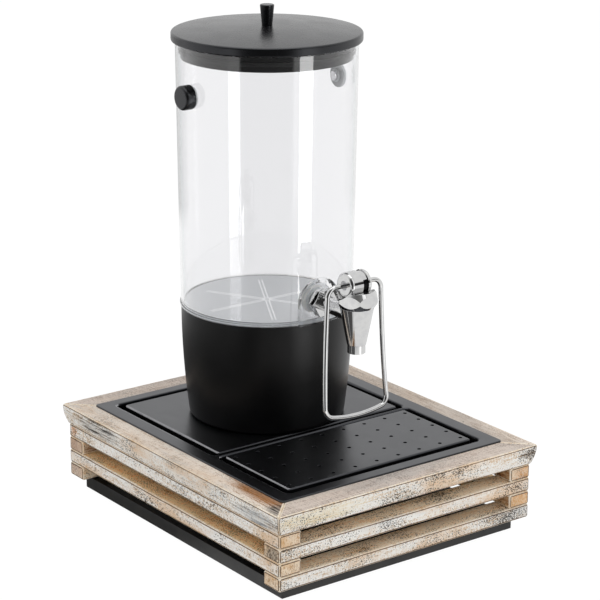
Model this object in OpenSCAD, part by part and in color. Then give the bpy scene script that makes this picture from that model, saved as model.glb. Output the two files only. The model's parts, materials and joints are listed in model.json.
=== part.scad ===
// Juice dispenser: clear tank with a push-back tap on a slatted crate stand, in millimetres
// The origin is the middle of the footprint on the table, +Z is up and the tap looks to -Y

/* [Crate] */
// Width of the top frame, side to side
frame_w = 290; // [270:1:320]
// Depth of the top frame, front to back
frame_d = 345; // [325:1:380]
// Width of a frame rail
rail_w = 33.5; // [31:0.5:38]
// Thickness of a frame rail
rail_h = 19; // [17:0.5:24]
// How far a rail's round outer face draws in at its foot
rail_lean = 4; // [2:0.5:6]
// Width of a slat
slat_w = 23; // [20:0.5:26]
// Height of one layer of slats
slat_h = 12.9; // [11:0.1:16]
// Setback of the slats from the frame's edge
slat_inset = 4.5; // [4:0.5:7]
// Thickness of the base board
board_h = 12.4; // [9:0.1:16]
// Setback of the base board from the frame's edge
board_inset = 15.1; // [12:0.1:18]
// Radius of a corner dowel
dowel_r = 3.5; // [2.5:0.5:5]
// Depth of a dowel in the rails
dowel_grip = 10; // [6:0.5:13]
// Distance between the board screws along a slat
board_screw_pitch = 85; // [50:1:100]
// Radius of a rubber foot
foot_r = 10; // [6:0.5:14]
// Thickness of a rubber foot
foot_h = 1.5; // [1:0.1:4]
// Distance from the board's edges to the middle of a foot
foot_inset = 22; // [18:1:40]

/* [Tray] */
// Bare wood beside the tray's rim, left and right
wood_margin_side = 21.5; // [18:0.5:26]
// Bare wood beyond the tray's rim, front and back
wood_margin_end = 24.3; // [18:0.1:26]
// Thickness of the tray's rim
rim_h = 1.5; // [1:0.1:3]
// Thickness of the tray's walls and floor
tray_wall = 1.5; // [1:0.1:2.5]
// Depth of the wells below the rim
well_depth = 24; // [18:0.5:30]
// Place of the bar between the two wells
divider_y = -29; // [-40:0.5:-27]
// Width of the bar between the two wells
divider_w = 4; // [3:0.5:6]
// Gap between a plate and the tray's rim
groove_w = 6; // [4:0.5:9]
// Gap between a plate and the bar
bar_gap = 3; // [2:0.5:5]
// Height of the plates above the rim
plate_proud = 0.4; // [0.2:0.1:2]
// Thickness of a plate's top
plate_skin = 3; // [2:0.5:5]
// Radius of a drip hole
drip_hole_r = 1.75; // [1:0.05:2.5]
// Drip holes across the grid
drip_columns = 9; // [5:1:11]
// Drip holes from front to back
drip_rows = 5; // [3:1:7]

/* [Tank] */
// Place of the tank's axis behind the middle of the crate
tank_y = 43.4; // [43:0.1:50]
// Height of the black base
base_h = 105.5; // [90:0.5:125]
// Radius of the base at its top
base_top_r = 79; // [76:0.1:80]
// How far the base draws in towards its foot
base_draw = 7; // [4:0.1:9]
// Wall of the base
base_wall = 3; // [2.5:0.1:4]
// Height of the clear tank
tank_h = 244.6; // [180:0.1:300]
// Outer radius of the tank at its foot
tank_foot_r = 79.3; // [78:0.1:80]
// Outer radius of the tank at its mouth
tank_top_r = 82.3; // [81:0.1:84]
// Wall of the tank
tank_wall = 2.5; // [2:0.1:4]
// Thickness of the tank's floor
tank_floor = 3; // [2:0.5:5]
// Ribs under the tank's floor
floor_ribs = 6; // [4:1:12]
// Radius of the cooling pack
pack_r = 53; // [40:0.5:54]
// Height of the cooling pack
pack_h = 60; // [40:1:65]

/* [Lid, button and cap] */
// How far the lid stands out past the tank's mouth
lid_overhang = 3.7; // [2:0.1:6]
// Height of the lid's rim
lid_rim_h = 8; // [6:0.5:12]
// Rise of the lid's crown above its rim
lid_crown = 5.3; // [3:0.1:8]
// Depth of the plug under the lid
plug_h = 14.5; // [12:0.5:24]
// Height of the knob
knob_h = 18.3; // [14:0.1:26]
// Radius of the knob at its top
knob_top_r = 6.5; // [5.5:0.1:9]
// Radius of the knob at its foot
knob_foot_r = 4.75; // [4:0.05:5.5]
// Radius of the side button and of the cap opposite
button_r = 10.75; // [8.5:0.25:14]
// How far the button stands out from the tank
button_proud = 10.4; // [8:0.1:14]
// Thickness of the flat cap opposite the button
side_cap_t = 2.4; // [2.2:0.1:5]
// Depth of the button's middle below the tank's mouth
button_drop = 42; // [32:1:80]

/* [Tap] */
// Distance from the tank's axis to the spout's axis
tap_reach = 133.9; // [125:0.1:145]
// Height of the tap's shank above the tank's foot
shank_up = 20.6; // [18:0.1:30]
// Radius of the threaded shank
shank_r = 8; // [7:0.1:9]
// Radius of the flat pad on the tank around the shank
pad_r = 21.5; // [19:0.5:26]
// How far the pad stands out past the tank's wall
pad_proud = 0.8; // [0.5:0.1:4]
// Drop from the shank's axis to the spout's tip
spout_drop = 33.7; // [30:0.1:45]
// Radius of the spout's tip
tip_r = 8; // [6.5:0.1:9]
// Height of the spout's tip
tip_h = 7.7; // [5:0.1:12]
// Height of the spout's cone
cone_h = 34.3; // [33:0.1:40]
// Radius of the cone where it meets the bonnet
cone_top_r = 15.2; // [12.5:0.1:15.5]
// Height of the hexagonal bonnet
bonnet_h = 15.3; // [13:0.1:20]
// Radius over the corners of the bonnet
bonnet_r = 19.5; // [19.4:0.1:21]
// Radius of the pivot head
head_r = 11.5; // [11:0.1:12.5]
// Length of the pivot head
head_l = 23.5; // [20:0.1:28]
// Distance of the pivot behind the spout's axis
pivot_back = 3.8; // [3:0.1:4]
// Radius of the bail's wire
wire_r = 2.2; // [1.8:0.05:2.4]
// Half width of the bail at the pivot
bail_top_w = 29.6; // [27:0.1:33]
// Half width of the bail at its foot
bail_foot_w = 34.3; // [34:0.1:44]
// Drop from the pivot to the bail's lower corners
bail_drop = 118; // [100:0.5:120]
// Bow of the bail's lower bar
bail_bow = 2.4; // [2:0.1:8]
// How far the bail's foot bends forward
bail_kick = 5.6; // [0:0.1:10]
// Turns of the valve spring
spring_turns = 5; // [3:0.5:6]

/* [Hidden] */
$fn = 96;

// Clearances: fixed fits, screw holes, running fits, and gaps between loose pieces
fit = 0.05;
hole_gap = 0.2;
run_fit = 0.05;
loose_gap = 0.3;
over = 1;

// Heights of the crate, from the table up
slat_layers = 4;
z_board = foot_h;
z_slats = z_board + board_h;
z_rail = z_slats + slat_layers * slat_h;
z_wood = z_rail + rail_h;

// Crate corners, rail moulding and fasteners
moulding_r = (rail_h * rail_h + rail_lean * rail_lean) / (2 * rail_lean);
slat_span_x = frame_w - 2 * slat_inset;
slat_span_y = frame_d - 2 * slat_inset;
dowel_x = slat_span_x / 2 - slat_w / 2;
dowel_y = slat_span_y / 2 - slat_w / 2;
board_w = frame_w - 2 * board_inset;
board_d = frame_d - 2 * board_inset;
board_screw_r = 2;
board_screw_head_r = 4;
board_screw_head_h = 2;
board_screw_grip = 8;
board_screw_sink = 0.3;
board_screw_y = (board_d / 2 + slat_span_y / 2 - slat_w) / 2;

// Tray wells in the frame's opening
tray_gap = 1.5;
tray_corner_r = 6;
well_corner_r = 5;
z_rim = z_wood + rim_h;
z_well = z_rim - well_depth;
z_plate = z_rim + plate_proud;
rim_w = frame_w - 2 * wood_margin_side;
rim_d = frame_d - 2 * wood_margin_end;
well_w = frame_w - 2 * (rail_w + tray_gap + tray_wall);
well_d = frame_d - 2 * (rail_w + tray_gap + tray_wall);
rear_well_y = [divider_y + divider_w / 2, well_d / 2];
front_well_y = [-well_d / 2, divider_y - divider_w / 2];
rear_plate_y = [rear_well_y[0] + bar_gap, rear_well_y[1] - groove_w];
front_plate_y = [front_well_y[0] + groove_w, front_well_y[1] - bar_gap];
plate_w = well_w - 2 * groove_w;
plate_corner_r = 3;
plate_wall = 2.5;
plate_leg = 22;
plate_skirt = 8;
drip_edge_x = 5.7;
drip_edge_y = 8.4;

// Tank and base
z_tank = z_plate + base_h;
z_lid = z_tank + tank_h;
ledge_h = 2.5;
ledge_out = 0.9;
foot_round = 4;
foot_land = 3;
mouth_r = base_r(z_plate + foot_round) - foot_round - foot_land;
cover_lift = 2;
cover_t = 3;
z_cover = z_plate + cover_lift;
z_cover_top = z_cover + cover_t;
post_r = 4;
post_h = 10;
post_ring_r = mouth_r - post_r - over;
boss_r = 5;
boss_h = 10;
z_flange = z_tank - boss_h;
flange_t = 3;
boss_ring_r = base_r(z_flange) - base_wall - boss_r - over;
flange_lip = 2;
flange_in_r = boss_ring_r - boss_r - flange_lip;
screw_r = 2;
screw_head_r = 3.6;
screw_head_h = 1.6;
screw_grip = 8;
rib_t = 4;
rib_h = 4;
hub_r = 5;
pack_round = 6;

// Lid
lid_r = tank_top_r + lid_overhang;
lid_round = 1.5;
lid_skin = 3;
lid_land = 8;
lid_land_r = tank_top_r - tank_wall - lid_land;
lid_boss_r = 14;
z_knob = z_lid + lid_rim_h + lid_crown;
plug_gap = 2.1;
plug_wall = 4;
plug_web = 2.5;
plug_r = tank_in_r(z_lid - plug_h) - plug_gap;
seal_h = 4;
seal_depth = 2;
z_seal = z_lid - plug_h / 2 - seal_h / 2;
seal_r = tank_in_r(z_seal) - loose_gap;
knob_round = 1;
knob_screw_r = 2.4;
knob_screw_head_r = 4.5;
knob_screw_head_h = 2.5;
knob_screw_grip = 10;

// Side button and cap, given for the right
z_button = z_lid - button_drop;
button_round = 1.5;
button_gasket_t = 1.8;
x_button_seat = max(tank_r(z_button - button_r), tank_r(z_button + button_r)) + fit;
x_button_back = x_button_seat + button_gasket_t;
x_button_face = x_button_seat + button_proud;
washer_r = 6;
washer_t = 1;
washer_wall_r = min(tank_in_r(z_button - washer_r), tank_in_r(z_button + washer_r));
x_washer = sqrt(pow(washer_wall_r, 2) - pow(washer_r, 2)) - fit - washer_t;
button_head_r = 4.5;
button_head_h = 2.4;
button_screw_bite = 6;
side_cap_bite = 1.8;
side_cap_round = 0.8;

// Tap heights and places
tap_y = tank_y - tap_reach;
z_shank = z_tank + shank_up;
z_tip = z_shank - spout_drop;
z_cone = z_tip + tip_h;
z_bonnet = z_cone + cone_h;
z_bonnet_top = z_bonnet + bonnet_h;
head_sink = 6.6;
pivot_y = tap_y + pivot_back;
z_pivot = z_bonnet_top + head_r - head_sink;
pad_inner = 2.5;
pad_inner_r = 16;
y_pad = tank_y - tank_r(z_shank) - pad_proud;
y_inner = tank_y - tank_in_r(z_shank) + pad_inner;
gasket_t = 1.5;
gasket_r = 11.5;
collar_t = 8;
collar_r = 13.5;
y_collar = y_pad - gasket_t;
y_collar_front = y_collar - collar_t;
nut_t = 7;
nut_r = 13;
y_nut = y_inner + gasket_t;
shank_end = 2;
shank_bore_r = 4.2;
spigot_r = 5.6;
spigot_l = 6;
stem_tube_r = 7.5;
tip_step = 0.5;

// Valve and pivot mechanism, y measured from the pivot
outlet_r = 4.5;
chamber_r = 8.5;
seat_drop = 7;
z_seat = z_shank - seat_drop;
washer_gap = 0.05;
valve_r = 7;
valve_washer_t = 2;
valve_holder_t = 2.5;
valve_stud_r = 1.5;
stem_r = 2.5;
z_holder = z_seat + washer_gap + valve_washer_t;
z_spring = z_holder + valve_holder_t;
spring_pocket_r = 7.3;
spring_pocket_h = 6;
bonnet_spigot_r = chamber_r - fit;
bonnet_spigot_h = 2;
z_spring_top = z_bonnet + spring_pocket_h;
bonnet_flat_share = 0.8;
bonnet_band_share = 0.2;
bonnet_flat_r = bonnet_r * bonnet_flat_share;
spring_r = 5.5;
spring_wire_r = 0.6;
head_wall = 2.5;
head_bore_r = head_r - head_wall;
head_round = 3;
head_groove_x = 1.4;
head_groove_w = 5.8;
head_groove_t = 1;
cap_flange_t = 3.5;
cap_plug_t = 3.1;
cap_x = head_l / 2 - cap_flange_t - cap_plug_t;
journal_r = 4;
web_r = 6.4;
web_t = 1.5;
crank = 4.5;
crank_pin_r = 1;
fork_half_w = 2.6;
fork_half_h = 2.15;
fork_front = -3 - pivot_back;
fork_back = 6.2;
fork_slot_y = 2.9;
fork_play = 0.1;
fork_slot_half_h = crank_pin_r + fork_play;
wire_socket = 4.5;

// Bail outline in the plane of the wire, worked out from its corners
bail_corner_r = 9;
bail_foot_corner_r = 9;
bail_upper = [bail_top_w - bail_corner_r, z_pivot - bail_corner_r];
bail_lower = [bail_foot_w - bail_foot_corner_r, z_pivot - bail_drop + bail_foot_corner_r];
bail_leg_slope = atan((bail_lower[0] - bail_upper[0]) / (bail_upper[1] - bail_lower[1]));
bail_lean = bail_leg_slope - asin((bail_corner_r - bail_foot_corner_r) / norm(bail_lower - bail_upper));
bow_r = bail_lower[0] / sin(2 * atan(bail_bow / bail_lower[0]));
bow_turn = asin(bail_lower[0] / (bow_r - bail_foot_corner_r));
bow_z = bail_lower[1] + (bow_r - bail_foot_corner_r) * cos(bow_turn);
bail_reach = z_pivot - bow_z + bow_r;

// Steps along the drawn curves
curve_steps = 10;
round_steps = 4;
bend_steps = 8;
leg_steps = 6;
wire_sides = 12;
spring_sides = 6;
spring_turn_steps = 8;

function tank_r(z) = tank_foot_r + (tank_top_r - tank_foot_r) * (z - z_tank) / tank_h;
function tank_in_r(z) = tank_r(z) - tank_wall;
function base_r(z) = base_top_r - base_draw * pow((z_tank - z) / base_h, 2);
function lid_top(r) = z_lid + lid_rim_h + lid_crown * (1 - pow(r / lid_r, 2));
function arc(cx, cy, r, a0, a1, steps) =
    [for (i = [0 : steps]) let (a = a0 + (a1 - a0) * i / steps) [cx + r * cos(a), cy + r * sin(a)]];

// Shared shapes
module at_corners(x, y) {
    for (sx = [-1, 1])
        for (sy = [-1, 1])
            translate([sx * x, sy * y, 0])
                children();
}

module around_tank(count, ring_r, start) {
    for (i = [0 : count - 1])
        translate([0, tank_y, 0])
            rotate(start + i * 360 / count)
                translate([ring_r, 0, 0])
                    children();
}

module both_sides() {
    children();
    mirror([1, 0, 0])
        children();
}

module lathe(points) {
    rotate_extrude()
        polygon(points);
}

module ring(outer, inner, h) {
    difference() {
        cylinder(r = outer, h = h);
        translate([0, 0, -over])
            cylinder(r = inner, h = h + 2 * over);
    }
}

module round_slab(w, y_span, h, r) {
    d = y_span[1] - y_span[0];
    translate([0, (y_span[0] + y_span[1]) / 2, 0]) {
        translate([-w / 2 + r, -d / 2, 0])
            cube([w - 2 * r, d, h]);
        translate([-w / 2, -d / 2 + r, 0])
            cube([w, d - 2 * r, h]);
        at_corners(w / 2 - r, d / 2 - r)
            cylinder(r = r, h = h);
    }
}

module pan_screw(r, head_r, head_h, grip) {
    translate([0, 0, -head_h])
        cylinder(r = head_r, h = head_h);
    cylinder(r = r, h = grip);
}

module along_y(y, z) {
    translate([0, y, z])
        rotate([-90, 0, 0])
            children();
}

module along_x(x, y, z) {
    translate([x, y, z])
        rotate([0, 90, 0])
            children();
}

// A closed tube through rings of points, each ring with the same number of sides
module tube(points, rings, sides) {
    last = (rings - 1) * sides;
    walls = [
        for (i = [0 : rings - 2])
            for (k = [0 : sides - 1])
                let (a = i * sides + k, b = i * sides + (k + 1) % sides)
                    each [[a, a + sides, b], [b, a + sides, b + sides]]
    ];
    ends = [for (k = [1 : sides - 2]) each [[0, k, k + 1], [last, last + k + 1, last + k]]];
    polyhedron(points, concat(walls, ends));
}

// Crate
module dowel_holes() {
    at_corners(dowel_x, dowel_y)
        translate([0, 0, z_slats - over])
            cylinder(r = dowel_r + fit, h = z_rail + dowel_grip + over - z_slats + over);
}

module board_screw_places() {
    for (i = [-1 : 1])
        for (sy = [-1, 1])
            translate([i * board_screw_pitch, sy * board_screw_y, z_board + board_screw_sink])
                children();
}

module rail(length) {
    intersection() {
        translate([-length / 2, -over, 0])
            cube([length, rail_w + over, rail_h]);
        along_x(-length / 2, moulding_r, rail_h)
            cylinder(r = moulding_r, h = length);
        linear_extrude(rail_h)
            polygon([
                [-length / 2 - over, -over],
                [length / 2 + over, -over],
                [length / 2 - rail_w, rail_w],
                [-length / 2 + rail_w, rail_w]
            ]);
    }
}

module placed_rail(turn, length, reach) {
    color("linen")
        difference() {
            translate([0, 0, z_rail])
                rotate(turn)
                    translate([0, -reach, 0])
                        rail(length);
            dowel_holes();
        }
}

module side_slat(side, layer) {
    color("antiquewhite")
        difference() {
            translate([side * dowel_x - slat_w / 2, -slat_span_y / 2, z_rail - layer * slat_h])
                cube([slat_w, slat_span_y, slat_h]);
            dowel_holes();
        }
}

module end_slat(side, layer) {
    color("antiquewhite")
        difference() {
            translate([-slat_span_x / 2, side * dowel_y - slat_w / 2, z_rail - layer * slat_h])
                cube([slat_span_x, slat_w, slat_h]);
            dowel_holes();
            board_screw_places()
                cylinder(r = board_screw_r + fit, h = board_h + board_screw_grip);
        }
}

module rail_front() placed_rail(0, frame_w, frame_d / 2);
module rail_back() placed_rail(180, frame_w, frame_d / 2);
module rail_left() placed_rail(-90, frame_d, frame_w / 2);
module rail_right() placed_rail(90, frame_d, frame_w / 2);
module side_slat_upper_left() side_slat(-1, 1);
module side_slat_upper_right() side_slat(1, 1);
module side_slat_lower_left() side_slat(-1, 3);
module side_slat_lower_right() side_slat(1, 3);
module end_slat_upper_front() end_slat(-1, 2);
module end_slat_upper_back() end_slat(1, 2);
module end_slat_lower_front() end_slat(-1, 4);
module end_slat_lower_back() end_slat(1, 4);

module base_board() {
    color("#2b2b2b")
        difference() {
            translate([-board_w / 2, -board_d / 2, z_board])
                cube([board_w, board_d, board_h]);
            board_screw_places() {
                translate([0, 0, -board_screw_sink - over])
                    cylinder(r = board_screw_r + hole_gap, h = board_h + 2 * over);
                translate([0, 0, -board_screw_sink - over])
                    cylinder(r = board_screw_head_r + hole_gap, h = board_screw_sink + over);
                cylinder(
                    r1 = board_screw_head_r + hole_gap,
                    r2 = board_screw_r + hole_gap,
                    h = board_screw_head_h
                );
            }
        }
}

module rubber_feet() {
    color("#151515")
        at_corners(board_w / 2 - foot_inset, board_d / 2 - foot_inset)
            cylinder(r = foot_r, h = foot_h);
}

module corner_dowels() {
    color("burlywood")
        at_corners(dowel_x, dowel_y)
            translate([0, 0, z_slats])
                cylinder(r = dowel_r, h = z_rail + dowel_grip - z_slats);
}

module board_screws() {
    color("silver")
        board_screw_places() {
            cylinder(r1 = board_screw_head_r, r2 = board_screw_r, h = board_screw_head_h);
            cylinder(r = board_screw_r, h = board_h - board_screw_sink + board_screw_grip - over);
        }
}

// Tray
module well(y_span) {
    translate([0, 0, z_well])
        round_slab(well_w, y_span, well_depth + over, well_corner_r);
}

module drip_tray() {
    body_y = well_d / 2 + tray_wall;
    color("#1c1c1c")
        difference() {
            union() {
                translate([0, 0, z_wood])
                    round_slab(rim_w, [-rim_d / 2, rim_d / 2], rim_h, tray_corner_r);
                translate([0, 0, z_well - tray_wall])
                    round_slab(
                        well_w + 2 * tray_wall,
                        [-body_y, body_y],
                        z_rim - z_well + tray_wall - rim_h / 2,
                        well_corner_r + tray_wall
                    );
            }
            well(rear_well_y);
            well(front_well_y);
        }
}

module plate_shell(y_span) {
    inner = [y_span[0] + plate_wall, y_span[1] - plate_wall];
    difference() {
        translate([0, 0, z_well])
            round_slab(plate_w, y_span, z_plate - z_well, plate_corner_r);
        translate([-plate_w / 2 + plate_wall, inner[0], z_well - over])
            cube([plate_w - 2 * plate_wall, inner[1] - inner[0], z_plate - plate_skin - z_well + over]);
    }
}

module stand_plate() {
    color("#202020")
        plate_shell(rear_plate_y);
}

module drip_grid() {
    y0 = front_plate_y[0];
    d = front_plate_y[1] - y0;
    window_h = z_plate - plate_skin - plate_skirt - z_well + over;
    pitch_x = (plate_w - 2 * drip_edge_x) / (drip_columns - 1);
    pitch_y = (d - 2 * drip_edge_y) / (drip_rows - 1);
    color("#202020")
        difference() {
            plate_shell(front_plate_y);
            translate([-plate_w / 2 + plate_leg, y0 - over, z_well - over])
                cube([plate_w - 2 * plate_leg, d + 2 * over, window_h]);
            translate([-plate_w / 2 - over, y0 + plate_leg, z_well - over])
                cube([plate_w + 2 * over, d - 2 * plate_leg, window_h]);
            for (i = [0 : drip_columns - 1])
                for (j = [0 : drip_rows - 1])
                    translate([
                        -plate_w / 2 + drip_edge_x + i * pitch_x,
                        y0 + drip_edge_y + j * pitch_y,
                        z_plate - plate_skin - over
                    ])
                        cylinder(r = drip_hole_r, h = plate_skin + 2 * over);
        }
}

// Tank
module tank_walls() {
    translate([0, tank_y, 0])
        lathe([
            [0, z_tank],
            [tank_foot_r + ledge_out, z_tank],
            [tank_foot_r + ledge_out, z_tank + ledge_h],
            [tank_r(z_tank + ledge_h), z_tank + ledge_h],
            [tank_top_r, z_lid],
            [0, z_lid]
        ]);
}

module tank_hollow() {
    z_in = z_tank + tank_floor;
    translate([0, tank_y, 0])
        lathe([
            [0, z_in],
            [tank_in_r(z_in), z_in],
            [tank_in_r(z_lid + over), z_lid + over],
            [0, z_lid + over]
        ]);
}

module tap_pad() {
    depth = tank_wall + pad_proud + pad_r;
    translate([-pad_r, y_pad, z_tank])
        cube([2 * pad_r, depth, z_shank - z_tank]);
    intersection() {
        along_y(y_pad, z_shank)
            cylinder(r = pad_r, h = depth);
        translate([-pad_r, y_pad, z_tank])
            cube([2 * pad_r, depth, shank_up + pad_r]);
    }
}

module floor_stiffeners() {
    rib_l = flange_in_r;
    translate([0, tank_y, z_tank - rib_h])
        cylinder(r = hub_r, h = rib_h + over);
    around_tank(floor_ribs, 0, 0)
        translate([0, -rib_t / 2, z_tank - rib_h])
            cube([rib_l, rib_t, rib_h + over]);
    around_tank(4, boss_ring_r, 45)
        translate([0, 0, z_flange])
            cylinder(r = boss_r, h = boss_h + over);
}

module tank_shell() {
    color("aliceblue", 0.35)
        difference() {
            union() {
                difference() {
                    union() {
                        tank_walls();
                        tap_pad();
                    }
                    tank_hollow();
                }
                along_y(y_pad, z_shank)
                    cylinder(r = pad_inner_r, h = y_inner - y_pad);
                floor_stiffeners();
            }
            along_y(y_pad - over, z_shank)
                cylinder(r = shank_r + hole_gap, h = y_inner - y_pad + 2 * over);
            around_tank(4, boss_ring_r, 45)
                translate([0, 0, z_flange - over])
                    cylinder(r = screw_r + fit, h = screw_grip + over + over);
            along_x(-tank_top_r - over, tank_y, z_button)
                cylinder(r = screw_r + hole_gap, h = 2 * (tank_top_r + over));
        }
}

module base_solid() {
    foot_r_out = base_r(z_plate + foot_round);
    z_round = z_plate + foot_round;
    lathe(concat(
        [[0, z_plate]],
        arc(foot_r_out - foot_round, z_round, foot_round, -90, 0, round_steps),
        [
            for (i = [1 : curve_steps])
                let (z = z_round + (z_tank - z_round) * i / curve_steps)
                    [base_r(z), z]
        ],
        [[0, z_tank]]
    ));
}

module base_hollow(z0, z1) {
    lathe(concat(
        [[0, z0]],
        [
            for (i = [0 : curve_steps])
                let (z = z0 + (z1 - z0) * i / curve_steps)
                    [base_r(z) - base_wall, z]
        ],
        [[0, z1]]
    ));
}

module tank_base() {
    z_room = z_cover_top - over;
    web_l = base_r(z_cover_top) - base_wall / 3 - post_ring_r;
    color("#181818")
        difference() {
            union() {
                translate([0, tank_y, 0])
                    difference() {
                        base_solid();
                        translate([0, 0, z_plate - over])
                            cylinder(r = mouth_r, h = z_room - z_plate + 2 * over);
                        base_hollow(z_room, z_flange - flange_t);
                        base_hollow(z_flange, z_tank);
                        cylinder(r = flange_in_r, h = z_tank + over);
                    }
                around_tank(4, post_ring_r, 0) {
                    translate([0, 0, z_cover_top])
                        cylinder(r = post_r, h = post_h);
                    translate([0, -post_r / 2, z_cover_top])
                        cube([web_l, post_r, post_h]);
                }
            }
            around_tank(4, post_ring_r, 0)
                translate([0, 0, z_cover_top - over])
                    cylinder(r = screw_r + fit, h = screw_grip + over + over);
            around_tank(4, boss_ring_r, 45)
                translate([0, 0, z_flange - flange_t - over])
                    cylinder(r = screw_r + hole_gap, h = flange_t + 2 * over);
        }
}

module tank_screws() {
    color("silver")
        around_tank(4, boss_ring_r, 45)
            translate([0, 0, z_flange - flange_t])
                pan_screw(screw_r, screw_head_r, screw_head_h, flange_t + screw_grip);
}

module base_cover() {
    color("#242424")
        difference() {
            translate([0, tank_y, z_cover])
                cylinder(r = mouth_r - hole_gap, h = cover_t);
            around_tank(4, post_ring_r, 0)
                translate([0, 0, z_cover - over])
                    cylinder(r = screw_r + hole_gap, h = cover_t + 2 * over);
        }
}

module cover_screws() {
    color("silver")
        around_tank(4, post_ring_r, 0)
            translate([0, 0, z_cover])
                pan_screw(screw_r, screw_head_r, screw_head_h, cover_t + screw_grip);
}

module cooling_pack() {
    z1 = z_cover_top + pack_h;
    color("lightsteelblue")
        translate([0, tank_y, 0])
            lathe(concat(
                [[0, z_cover_top]],
                arc(pack_r - pack_round, z_cover_top + pack_round, pack_round, -90, 0, round_steps),
                arc(pack_r - pack_round, z1 - pack_round, pack_round, 0, 90, round_steps),
                [[0, z1]]
            ));
}

// Lid
module lid_disc() {
    crown_r = lid_r - lid_round;
    seat_r = knob_foot_r + over;
    z_edge = lid_top(crown_r) - lid_round;
    color("#1a1a1a")
        difference() {
            translate([0, tank_y, 0])
                lathe(concat(
                    [[0, z_lid], [lid_boss_r, z_lid]],
                    [
                        for (i = [0 : curve_steps])
                            let (r = lid_boss_r + (lid_land_r - lid_boss_r) * i / curve_steps)
                                [r, lid_top(r) - lid_skin]
                    ],
                    [[lid_land_r, z_lid]],
                    arc(crown_r, z_lid + lid_round, lid_round, -90, 0, round_steps),
                    arc(crown_r, z_edge, lid_round, 0, 90, round_steps),
                    [
                        for (i = [1 : curve_steps])
                            let (r = crown_r + (seat_r - crown_r) * i / curve_steps)
                                [r, lid_top(r)]
                    ],
                    [[seat_r, z_knob], [0, z_knob]]
                ));
            translate([0, tank_y, z_lid - over])
                cylinder(r = knob_screw_r + hole_gap, h = lid_rim_h + lid_crown + 2 * over);
        }
}

module lid_plug() {
    plug_in = plug_r - plug_wall;
    groove_r = plug_r - seal_depth;
    color("#141414")
        difference() {
            translate([0, tank_y, 0])
                lathe([
                    [0, z_lid - plug_web],
                    [plug_in, z_lid - plug_web],
                    [plug_in, z_lid - plug_h],
                    [plug_r, z_lid - plug_h],
                    [plug_r, z_seal],
                    [groove_r, z_seal],
                    [groove_r, z_seal + seal_h],
                    [plug_r, z_seal + seal_h],
                    [plug_r, z_lid],
                    [0, z_lid]
                ]);
            translate([0, tank_y, z_lid - plug_web - over])
                cylinder(r = knob_screw_r + hole_gap, h = plug_web + 2 * over);
        }
}

module lid_seal() {
    color("dimgray")
        translate([0, tank_y, z_seal + fit])
            ring(seal_r, plug_r - seal_depth + fit, seal_h - 2 * fit);
}

module lid_knob() {
    z1 = z_knob + knob_h;
    color("#0c0c0c")
        difference() {
            translate([0, tank_y, 0])
                lathe(concat(
                    [[0, z_knob], [knob_foot_r, z_knob]],
                    arc(knob_top_r - knob_round, z1 - knob_round, knob_round, 0, 90, round_steps),
                    [[0, z1]]
                ));
            translate([0, tank_y, z_knob - over])
                cylinder(r = knob_screw_r + fit, h = knob_screw_grip + over + over);
        }
}

module knob_screw() {
    color("silver")
        translate([0, tank_y, z_lid - plug_web])
            pan_screw(
                knob_screw_r,
                knob_screw_head_r,
                knob_screw_head_h,
                plug_web + z_knob - z_lid + knob_screw_grip
            );
}

// Side button and cap
module round_cap(depth, rounding, bite) {
    difference() {
        lathe(concat(
            [[0, 0], [button_r, 0]],
            arc(button_r - rounding, depth - rounding, rounding, 0, 90, round_steps),
            [[0, depth]]
        ));
        translate([0, 0, -over])
            cylinder(r = screw_r + fit, h = over + bite + hole_gap);
    }
}

module side_button() {
    color("#161616")
        mirror([1, 0, 0])
            along_x(x_button_back, tank_y, z_button)
                round_cap(x_button_face - x_button_back, button_round, button_screw_bite);
}

module side_cap() {
    color("lightgray")
        along_x(x_button_seat, tank_y, z_button)
            round_cap(side_cap_t, side_cap_round, side_cap_bite);
}

module button_gasket() {
    color("whitesmoke")
        mirror([1, 0, 0])
            along_x(x_button_seat, tank_y, z_button)
                ring(button_r - loose_gap, screw_r + hole_gap, button_gasket_t);
}

module button_washers() {
    color("whitesmoke")
        both_sides()
            along_x(x_washer, tank_y, z_button)
                ring(washer_r, screw_r + hole_gap, washer_t);
}

module button_screw(x_tip) {
    along_x(x_washer, tank_y, z_button)
        pan_screw(screw_r, button_head_r, button_head_h, x_tip - x_washer);
}

module button_screws() {
    color("silver") {
        mirror([1, 0, 0])
            button_screw(x_button_back + button_screw_bite);
        button_screw(x_button_seat + side_cap_bite);
    }
}

// Tap, fixed pieces
module tap_shank() {
    y_end = y_nut + nut_t + shank_end;
    color("gainsboro")
        difference() {
            union() {
                along_y(y_collar_front, z_shank)
                    cylinder(r = collar_r, h = collar_t, $fn = 6);
                along_y(y_collar, z_shank)
                    cylinder(r = shank_r, h = y_end - y_collar);
                along_y(y_collar_front - spigot_l, z_shank)
                    cylinder(r = spigot_r, h = spigot_l + over);
            }
            along_y(y_collar_front - spigot_l - over, z_shank)
                cylinder(r = shank_bore_r, h = y_end - y_collar_front + spigot_l + 2 * over);
        }
}

module outer_gasket() {
    color("whitesmoke")
        along_y(y_collar, z_shank)
            ring(gasket_r, shank_r + hole_gap, gasket_t);
}

module inner_gasket() {
    color("whitesmoke")
        along_y(y_inner, z_shank)
            ring(gasket_r, shank_r + hole_gap, gasket_t);
}

module shank_nut() {
    color("whitesmoke")
        difference() {
            along_y(y_nut, z_shank)
                cylinder(r = nut_r, h = nut_t, $fn = 6);
            along_y(y_nut - over, z_shank)
                cylinder(r = shank_r + fit, h = nut_t + 2 * over);
        }
}

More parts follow.
